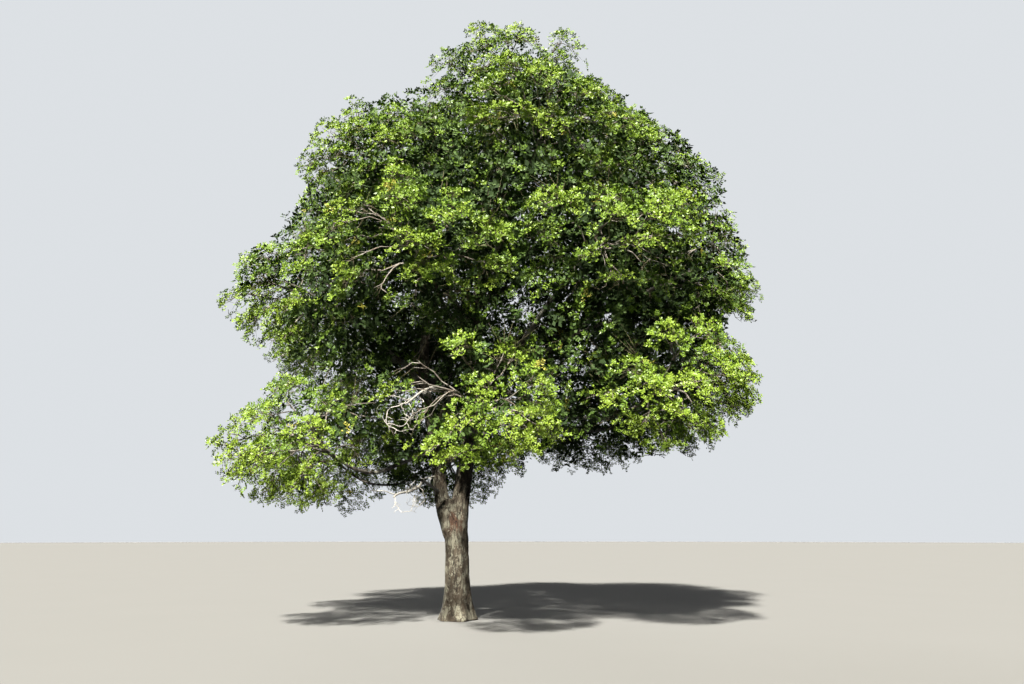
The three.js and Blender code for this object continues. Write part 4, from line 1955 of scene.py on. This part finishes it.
@dataclass
class Foliage:
    """All masses: twigs that branch by the seeded rule, and rosettes of leaves at their tips.

    Lengths are in millimetres but for the leaves', which is in metres.
    """

    skeleton: Skeleton
    front: FrontView
    shape: SprayShape = SprayShape()
    pattern: LeafPattern = LeafPattern()
    sprays: int = 25
    side_tries: int = 360
    side_reach: tuple[float, float] = (0.56, 0.8)
    side_feet: tuple[float, float] = (0.35, 0.6)
    side_tip: float = 7.0
    spray_room: float = 352.0
    edge_margin: float = 300.0
    spot_inset: float = 95.0
    spot_room: float = 75.0
    moods: float = 0.3
    nest_root: float = 9.5
    twig_tip: float = 5.0
    young_radius: float = 4.8
    fill_tries: int = 3200
    fill_room: float = 190.0
    fill_spacing: float = 300.0
    hollow_spacing: float = 185.0
    seam_from: float = 0.42
    seam_to: float = 0.88
    seam_reach: float = 280.0
    shoot_spacing: float = 420.0
    shoot_lengths: tuple[float, float] = (380.0, 720.0)
    shoot_spread: tuple[float, float] = (90.0, 330.0)
    shoot_root: float = 9.0
    shoot_rosettes: int = 9
    leaf_room: float = 60.0
    leaf_length: float = 0.125
    leaf_sizes: tuple[float, float] = (0.78, 1.18)
    leaf_droops: tuple[float, float] = (0.02, 0.22)
    leaf_tilts: tuple[float, ...] = (78, 56, 84, 50, 74)
    twigs: TwigBundle = field(default_factory=TwigBundle)
    young: TwigBundle = field(default_factory=TwigBundle)

    def __post_init__(self) -> None:
        """Starts the lists of rosettes: where each is, its way and how much sun it gets."""
        self.spots: list[Array] = []
        self.axes: list[Array] = []
        self.sun: list[Array] = []
        self.random = np.random.default_rng(FOLIAGE_SEED)

    def _primaries(self, bough: Limb) -> list[Limb]:
        """The main twigs of a mass, in the ways that the solids' rule gives them.

        Args:
            bough: The bough that carries the mass.

        Returns:
            The stem on the bough's tip, then the twigs.
        """
        mass = bough.mass
        dice = Dice(mass.seed + TWIG_SEED)
        tip_way, tip = bough.ways(1.0), bough.points(1.0)
        ends = tip, tip_way, mass.middle, mass.middle - tip
        stem = Limb("stem", *ends, bough.tip, bough.tip * 0.7, mass.seed, 0)
        heart = stem.ways(1.0)
        phase = dice.roll(0, 2 * math.pi)
        across = unit(np.cross(UP, heart))
        turn = math.acos(float(np.clip(heart @ UP, -1, 1)))
        found = [stem]
        for k in range(TWIGS):
            cosine = 1 - TWIG_FAN * (k + 0.5) / TWIGS
            sine = math.sqrt(1 - cosine * cosine)
            angle = phase + k * GOLDEN
            way = point(sine * math.cos(angle), sine * math.sin(angle), cosine)
            way = self._turned(way, across, turn)
            length = dice.roll(*TWIG_REACH) * mass.reach / np.linalg.norm(squashed(way))
            end = mass.middle + way * length
            foot = mass.middle + way * TWIG_START
            if not self.skeleton.in_space(end[None], mass)[0]:
                continue
            line = np.linspace(0, 1, 8)
            room = CLEARANCE + TWIG_RADIUS * np.sin(np.pi * line)
            if not self.skeleton.clear_of_limbs(foot + line[:, None] * (end - foot), room).all():
                continue
            # The solids' rule rolls these six for the leaves of each twig.
            for _ in range(6):
                dice.roll()
            foot = stem.points(TWIG_FEET[0] + TWIG_FEET[1] * (k % 4) / 4)
            ends = foot, way + 0.8 * heart, end, way + 0.3 * UP
            sizes = TWIG_RADIUS * TWIG_ROOT, TWIG_TIP, mass.seed + 11 * k, TWIG_CROOK
            found.append(Limb("twig", *ends, *sizes))
        return found

    @staticmethod
    def _turned(way: Array, axis: Array, angle: float) -> Array:
        """A way turned about an axis."""
        along = axis * (axis @ way) * (1 - math.cos(angle))
        return way * math.cos(angle) + np.cross(axis, way) * math.sin(angle) + along

    def _side_twigs(self, mass: Mass, stem: Limb, twigs: list[Limb]) -> list[Limb]:
        """More main twigs, each forked from one that is there, towards the widest room between them.

        Args:
            mass: The mass.
            stem: Its stem.
            twigs: The twigs that are there.

        Returns:
            The new twigs.
        """
        random = self.random
        ways = unit(random.normal(0, 1, (self.side_tries, 3)))
        ways = ways[ways @ stem.ways(1.0) > -0.8]
        reach = random.uniform(*self.side_reach, (len(ways), 1)) * mass.reach
        ends = mass.middle + ways * reach / np.linalg.norm(squashed(ways), axis=1, keepdims=True)
        free = self.skeleton.in_space(ends, mass) & self.skeleton.clear_of_limbs(ends, self.leaf_room)
        free &= self.front.inside(ends, self.edge_margin)
        ends = ends[free & (in_crown(ends) > 0.5)]
        open_air = in_crown(ends)
        tips, found = [twig.end for twig in twigs], []
        while len(tips) < self.sprays and len(ends):
            apart = np.linalg.norm(squashed(ends)[:, None] - squashed(np.array(tips)), axis=2).min(1)
            best = int((apart * (0.4 + open_air) * random.uniform(0.7, 1.0, len(ends))).argmax())
            if apart[best] < self.spray_room:
                break
            end = ends[best]
            parent = min(twigs, key=lambda twig: np.linalg.norm(twig.points(0.7) - end))
            at = random.uniform(*self.side_feet)
            foot = parent.points(at)
            out = unit(end - foot)
            line = foot, parent.ways(at) + 0.7 * out, end, out + 0.35 * UP
            sizes = 0.8 * float(parent.radii(at)), self.side_tip, mass.seed + 13 * len(tips), 0.05
            found.append(Limb("side_twig", *line, *sizes))
            tips.append(end)
        return found

    def _spray(self, twig: Limb, mass: Mass) -> None:
        """One flat-topped spray at the end of a main twig: side twigs, twiglets and their rosettes.

        Args:
            twig: The main twig.
            mass: The mass that it belongs to.
        """
        random = self.random
        if not self.front.inside(twig.end[None])[0]:
            return
        spray = Spray(self.shape, twig, mass, random)
        kept = self.skeleton.in_space(spray.spots, mass, self.spot_inset)
        kept &= self.skeleton.clear_of_limbs(spray.spots, self.spot_room)
        kept &= self.front.shows(spray.spots, random)
        if not kept.any():
            return
        mood = random.normal(0, self.moods)
        self._twig(twig, 5, 4)
        for nest in np.unique(spray.nest[kept]):
            hub = spray.hub(nest)
            if not self.front.inside(hub[None])[0]:
                continue
            at = 0.62 + 0.3 * random.random()
            foot = twig.points(at)
            ends = foot, twig.ways(at) + 0.4 * unit(hub - foot), hub, hub - foot + 120 * spray.face
            side = Limb("side", *ends, self.nest_root, self.twig_tip, int(mass.seed + nest), 0.06)
            self._twig(side, 3, 3)
            chosen = kept & (spray.nest == nest)
            spots, drop = spray.spots[chosen], spray.drop[chosen]
            feet = side.points(random.uniform(0.45, 1.0, len(spots)))
            # Rosettes lower in the spray count as more shaded, and so take darker tints, as painted shade
            # under the spray's lit top.
            shade = np.clip(1 - (drop + 60) / 380, 0, 1) + mood + random.normal(0, 0.4 * self.moods)
            self._rosette_twigs(feet, spots, spray.face, mass, shade)

    def _rosette_twigs(
        self, feet: Array, ends: Array, face: Array, mass: Mass, shade: Array | float
    ) -> None:
        """Short twigs, each with a rosette of leaves at its end.

        Args:
            feet: Where each twig starts.
            ends: Where it ends.
            face: The way that the rosettes look, besides their twigs' own.
            mass: The mass that they belong to.
            shade: How free each one is to the sky in its spray, from 0 to 1.
        """
        random = self.random
        radii = np.full((len(ends), 1), self.young_radius * MM)
        self.young.add(np.stack([feet, ends], 1) * MM, radii, 3)
        self.spots.append(ends)
        along = unit(ends - feet)
        self.axes.append(unit(along * 0.55 + face * 0.85 + random.normal(0, 0.2, ends.shape)))
        outer = np.linalg.norm(squashed(ends - mass.middle), axis=1) / mass.reach
        uneven = 0.17 * random.normal(0, 1, len(ends))
        # The sun score, which picks each rosette's tint of painted light or painted shade.
        self.sun.append(0.35 * shade + 0.4 * outer + 0.9 * in_crown(ends) + uneven)

    def _fill(self, mass: Mass, twigs: list[Limb], sprayed: Array) -> None:
        """Shaded rosettes in the room that a mass's sprays leave, and in the seams between masses.

        Each is on a twig from the nearest main one, deep in the crown.

        Args:
            mass: The mass.
            twigs: Its main twigs.
            sprayed: Where its rosettes are.
        """
        random = self.random
        ways = unit(random.normal(0, 1, (self.fill_tries, 3)))
        share = 1.15 * random.random((len(ways), 1)) ** (1 / 3)
        balls = np.linalg.norm(squashed(ways), axis=1, keepdims=True)
        spots = mass.middle + ways * share * mass.reach / balls
        free = self.skeleton.in_space(spots, mass, -self.seam_reach)
        free &= self.skeleton.clear_of_limbs(spots, self.leaf_room)
        free &= (in_crown(spots) > self.seam_from) & (in_crown(spots) < self.seam_to)
        spots = spots[free & self.front.shows(spots, random)]
        apart = np.linalg.norm(spots[:, None] - sprayed, axis=2).min(1)
        spots = spots[apart > self.fill_room]
        room = np.where(self.front.behind_hollow(spots), self.hollow_spacing, self.fill_spacing)
        chosen = []
        while len(spots):
            chosen.append(spots[0])
            left = np.linalg.norm(spots - spots[0], axis=1) > room
            spots, room = spots[left], room[left]
        if not chosen:
            return
        ends = np.array(chosen)
        places = np.concatenate([twig.points(np.linspace(0.15, 0.95, 12)) for twig in twigs])
        feet = places[np.linalg.norm(ends[:, None] - places, axis=2).argmin(1)]
        # A low sun score gives these rosettes the darkest tints, as painted shade deep in the crown.
        self._rosette_twigs(feet, ends, 0.6 * unit(ends - CROWN_MIDDLE) + 0.4 * UP, mass, -0.6)

    def _shoots(self, bough: Limb) -> None:
        """Short leafy shoots along a bare limb inside the crown, all in the shade.

        Args:
            bough: The bare limb.
        """
        random = self.random
        first = 0.5 if bough.is_stem else 0.3
        for t in np.arange(first, 0.97, self.shoot_spacing / bough.span):
            foot = bough.points(float(t))
            way = unit(np.cross(bough.ways(float(t)), random.normal(0, 1, 3)) + 0.4 * UP)
            end = foot + way * random.uniform(*self.shoot_lengths)
            if not self.skeleton.clear_of_limbs(end[None], 2 * self.leaf_room)[0]:
                continue
            out = unit(random.normal(0, 1, (self.shoot_rosettes, 3)))
            spots = end + out * random.uniform(*self.shoot_spread, (self.shoot_rosettes, 1))
            kept = self.skeleton.clear_of_limbs(spots, self.leaf_room)
            kept = kept & self.front.shows(spots, random)
            if not kept.any():
                continue
            sizes = self.shoot_root, self.twig_tip, bough.seed, 0.05
            shoot = Limb("shoot", foot, way, end, way + 0.3 * UP, *sizes)
            self._twig(shoot, 3, 3)
            ends = spots[kept]
            feet = shoot.points(random.uniform(0.4, 1.0, len(ends)))
            # A low sun score gives these rosettes the darkest tints, as painted shade deep in the crown.
            self._rosette_twigs(feet, ends, unit(way + UP), bough.mass, -0.8)

    def _twig(self, twig: Limb, rings: int, sides: int) -> None:
        """Adds one bent twig to the bundle."""
        frames = twig.frames(rings)
        self.twigs.add(frames.middles[None] * MM, frames.radii[None, :-1] * MM, sides)

    def _rosettes(self) -> tuple[Array, Array, Array, Array, Array, Array]:
        """Lays out the leaves, rosette by rosette.

        Returns:
            Each leaf's root, way, side way, face, length and droop.
        """
        random = self.random
        spots, axes = np.concatenate(self.spots) * MM, np.concatenate(self.axes)
        count, most = len(spots), len(self.leaf_tilts)
        aside = unit(np.cross(axes, random.normal(0, 1, axes.shape)))
        third = np.cross(axes, aside)
        turn = 2 * np.pi * np.arange(most) / most + random.uniform(0, ANY_TURN, (count, 1))
        turn += random.normal(0, 0.2, turn.shape)
        tilt = np.tile(np.radians(self.leaf_tilts), (count, 1))
        tilt = tilt + random.normal(0, 0.14, tilt.shape)
        outward = np.cos(turn)[..., None] * aside[:, None] + np.sin(turn)[..., None] * third[:, None]
        way = np.cos(tilt)[..., None] * axes[:, None] + np.sin(tilt)[..., None] * outward
        face = unit(axes[:, None] - (axes[:, None] * way).sum(-1, keepdims=True) * way)
        roll = random.normal(0, 0.42, (*turn.shape, 1))
        face = face * np.cos(roll) + np.cross(face, way) * np.sin(roll)
        side = np.cross(face, way)
        length = self.leaf_length * random.uniform(*self.leaf_sizes, turn.shape)
        droop = random.uniform(*self.leaf_droops, turn.shape)
        root = spots[:, None] - axes[:, None] * random.uniform(0, 0.035, (*turn.shape, 1))
        return root, way, side, face, length, droop

    def _dealt(self) -> dict[Leaves, Array]:
        """Deals the rosettes out: the old ones here and there, the others by how much sun they get, so that
        the paler kinds paint sunlight and the darker ones paint shade.

        Returns:
            The numbers of the rosettes of each kind of leaf.
        """
        sun = np.concatenate(self.sun)
        old = np.zeros(len(sun), bool)
        old[self.random.choice(len(sun), int(Leaves.OLD.value.share * len(sun)), replace=False)] = True
        # The sunniest rosettes take the palest tints, as painted sunlight, and the least sunny take the
        # darkest, as painted shade.
        order = np.argsort(-sun)
        order = order[~old[order]]
        fresh = [kind for kind in Leaves if kind is not Leaves.OLD]
        shares = np.cumsum([kind.value.share for kind in fresh])
        cuts = (shares[:-1] / shares[-1] * len(order)).astype(int)
        dealt = dict(zip(fresh, np.split(order, cuts), strict=True))
        dealt[Leaves.OLD] = np.flatnonzero(old)
        return dealt

    def _leaf_meshes(self, nodes: list[str]) -> None:
        """Joins the leaves of each kind into one piece.

        Args:
            nodes: The solids that each piece stands for.
        """
        root, way, side, face, length, droop = self._rosettes()
        for kind, rosettes in self._dealt().items():
            shape, faces = self.pattern.shape(kind.value.pairs, kind.value.broad)
            along, aside = shape[:, 0], shape[:, 1]
            leaves = (rosettes, slice(kind.value.leaves))
            size = length[leaves].reshape(-1, 1, 1) * kind.value.growth
            up = shape[:, 2] - droop[leaves].reshape(-1, 1) * along**2
            reach = along[:, None] * way[leaves].reshape(-1, 1, 3)
            reach = reach + aside[:, None] * side[leaves].reshape(-1, 1, 3)
            reach = reach + up[..., None] * face[leaves].reshape(-1, 1, 3)
            places = root[leaves].reshape(-1, 1, 3) + size * reach
            corners = faces + len(shape) * np.arange(len(places))[:, None, None]
            name = f"{kind.name.lower()}_leaves"
            counts = np.full(len(places) * len(faces), 3)
            piece = mesh_piece(name, places.reshape(-1, 3), corners.ravel(), counts)
            place_piece(piece, kind.value.finish.make(), nodes)

    def build(self) -> None:
        """Grows all masses, dresses them and ties them to the frame."""
        nodes = [mass.name for mass in self.skeleton.masses]
        in_sprays = 0
        for bough in self.skeleton.limbs:
            stem, *twigs = self._primaries(bough)
            self._twig(stem, 5, 8)
            twigs += self._side_twigs(bough.mass, stem, twigs)
            first = len(self.spots)
            for twig in twigs:
                self._spray(twig, bough.mass)
            in_sprays += sum(len(spots) for spots in self.spots[first:])
            self._fill(bough.mass, [stem, *twigs], np.concatenate(self.spots[first:]))
            self._shoots(bough)
        total = sum(len(spots) for spots in self.spots)
        LOG.info("%d rosettes, %d of them in sprays", total, in_sprays)
        place_piece(self.twigs.build("twigs"), TWIG_BARK.make(), nodes)
        place_piece(self.young.build("young_twigs"), YOUNG_TWIG_BARK.make(), nodes)
        self._leaf_meshes(nodes)


# The studio


@dataclass(frozen=True)
class Lamp:
    """One far light that faces the trunk's foot.

    It comes from a place in metres, looks spread degrees wide from the tree, and its brightness is that
    of a white card square to it.
    """

    name: str
    place: Place
    spread: float
    brightness: float
    tint: Colour

    def build(self) -> None:
        """Hangs the light."""
        lamp = bpy.data.lights.new(self.name, "SUN")
        lamp.angle = math.radians(self.spread)
        lamp.color = self.tint
        lamp.energy = self.brightness * math.pi
        light = bpy.data.objects.new(self.name, lamp)
        light.location = self.place
        light.rotation_euler = (-Vector(self.place)).to_track_quat("-Z", "Y").to_euler()
        bpy.context.scene.collection.objects.link(light)


KEY = Lamp("key", (-8.0, -34.0, 35.0), 3.0, 3.7, (1.0, 0.97, 0.88))
FILL = Lamp("fill", (-14.0, 38.0, 13.0), 20.0, 0.6, (0.95, 0.97, 1.0))


@dataclass
class Studio:
    """The floor, the lights and the camera. Lengths in metres, angles in degrees."""

    floor_size: float = 400.0
    dome_radius: float = 196.0
    lens: float = 28.8
    farthest: float = 500.0
    eye: Place = (1.064, -16.65, 1.6)
    pitch: float = 13.26
    floor_colour: Colour = (0.245, 0.242, 0.235)
    backdrop_colour: Colour = (0.72, 0.75, 0.78)
    surround_colour: Colour = (0.93, 0.96, 1.0)
    surround: float = 0.05

    def _stage(self) -> None:
        """The floor, and a dome round it for a backdrop."""
        Bench.clear()
        bpy.ops.mesh.primitive_plane_add(size=self.floor_size, location=(0, 0, 0))
        floor = bpy.context.active_object
        floor.name = "floor"
        floor.visible_diffuse = floor.visible_glossy = False
        floor.data.materials.append(FloorFinish("pale_floor", self.floor_colour).make())
        bpy.ops.mesh.primitive_uv_sphere_add(segments=48, ring_count=24, radius=self.dome_radius)
        dome = bpy.context.active_object
        dome.name = "backdrop"
        dome.visible_diffuse = dome.visible_glossy = dome.visible_shadow = False
        Bench.smooth(dome)
        dome.data.materials.append(BackdropFinish("pale_backdrop", self.backdrop_colour).make())

    def _camera(self) -> None:
        """The camera, at the photograph's viewing angle."""
        camera = bpy.data.objects.new("camera", bpy.data.cameras.new("camera"))
        camera.data.lens = self.lens
        camera.data.clip_end = self.farthest
        camera.location = self.eye
        camera.rotation_euler = (math.radians(90 + self.pitch), 0, 0)
        bpy.context.scene.collection.objects.link(camera)
        bpy.context.scene.camera = camera

    def build(self) -> None:
        """Sets up the floor, the surround, the lights and the camera."""
        self._stage()
        world = bpy.data.worlds.new("surround")
        world.use_nodes = True
        background = world.node_tree.nodes["Background"]
        background.inputs["Color"].default_value = (*self.surround_colour, 1)
        background.inputs["Strength"].default_value = self.surround
        bpy.context.scene.world = world
        KEY.build()
        FILL.build()
        self._camera()
        bpy.context.scene.view_settings.view_transform = "Standard"
        LOG.info("floor, lights and camera are set")


SUN_DISTANCE = 10.0  # times that of the key light's place


def main() -> None:
    """Builds the tree, part by part."""
    logging.basicConfig(level=logging.INFO, format="%(name)s: %(message)s")
    studio = Studio()
    studio.build()
    skeleton = Skeleton()
    LOG.info("%d masses and %d limbs", len(skeleton.masses), len(skeleton.everything))
    Trunk(skeleton, TRUNK_BARK).build()
    bough_bark = BOUGH_BARK.make()
    for tier in TIERS:
        Boughs(skeleton, tier, bough_bark).build()
    dead_wood = DEAD_WOOD.make()
    for limb, curls in zip(skeleton.dead, DEAD_CURLS, strict=True):
        DeadLimb(skeleton, limb, dead_wood, curls).build()
    sun = tuple(SUN_DISTANCE * np.array(KEY.place))
    Foliage(skeleton, FrontView(studio.eye, sun)).build()


if __name__ == "__main__":
    main()
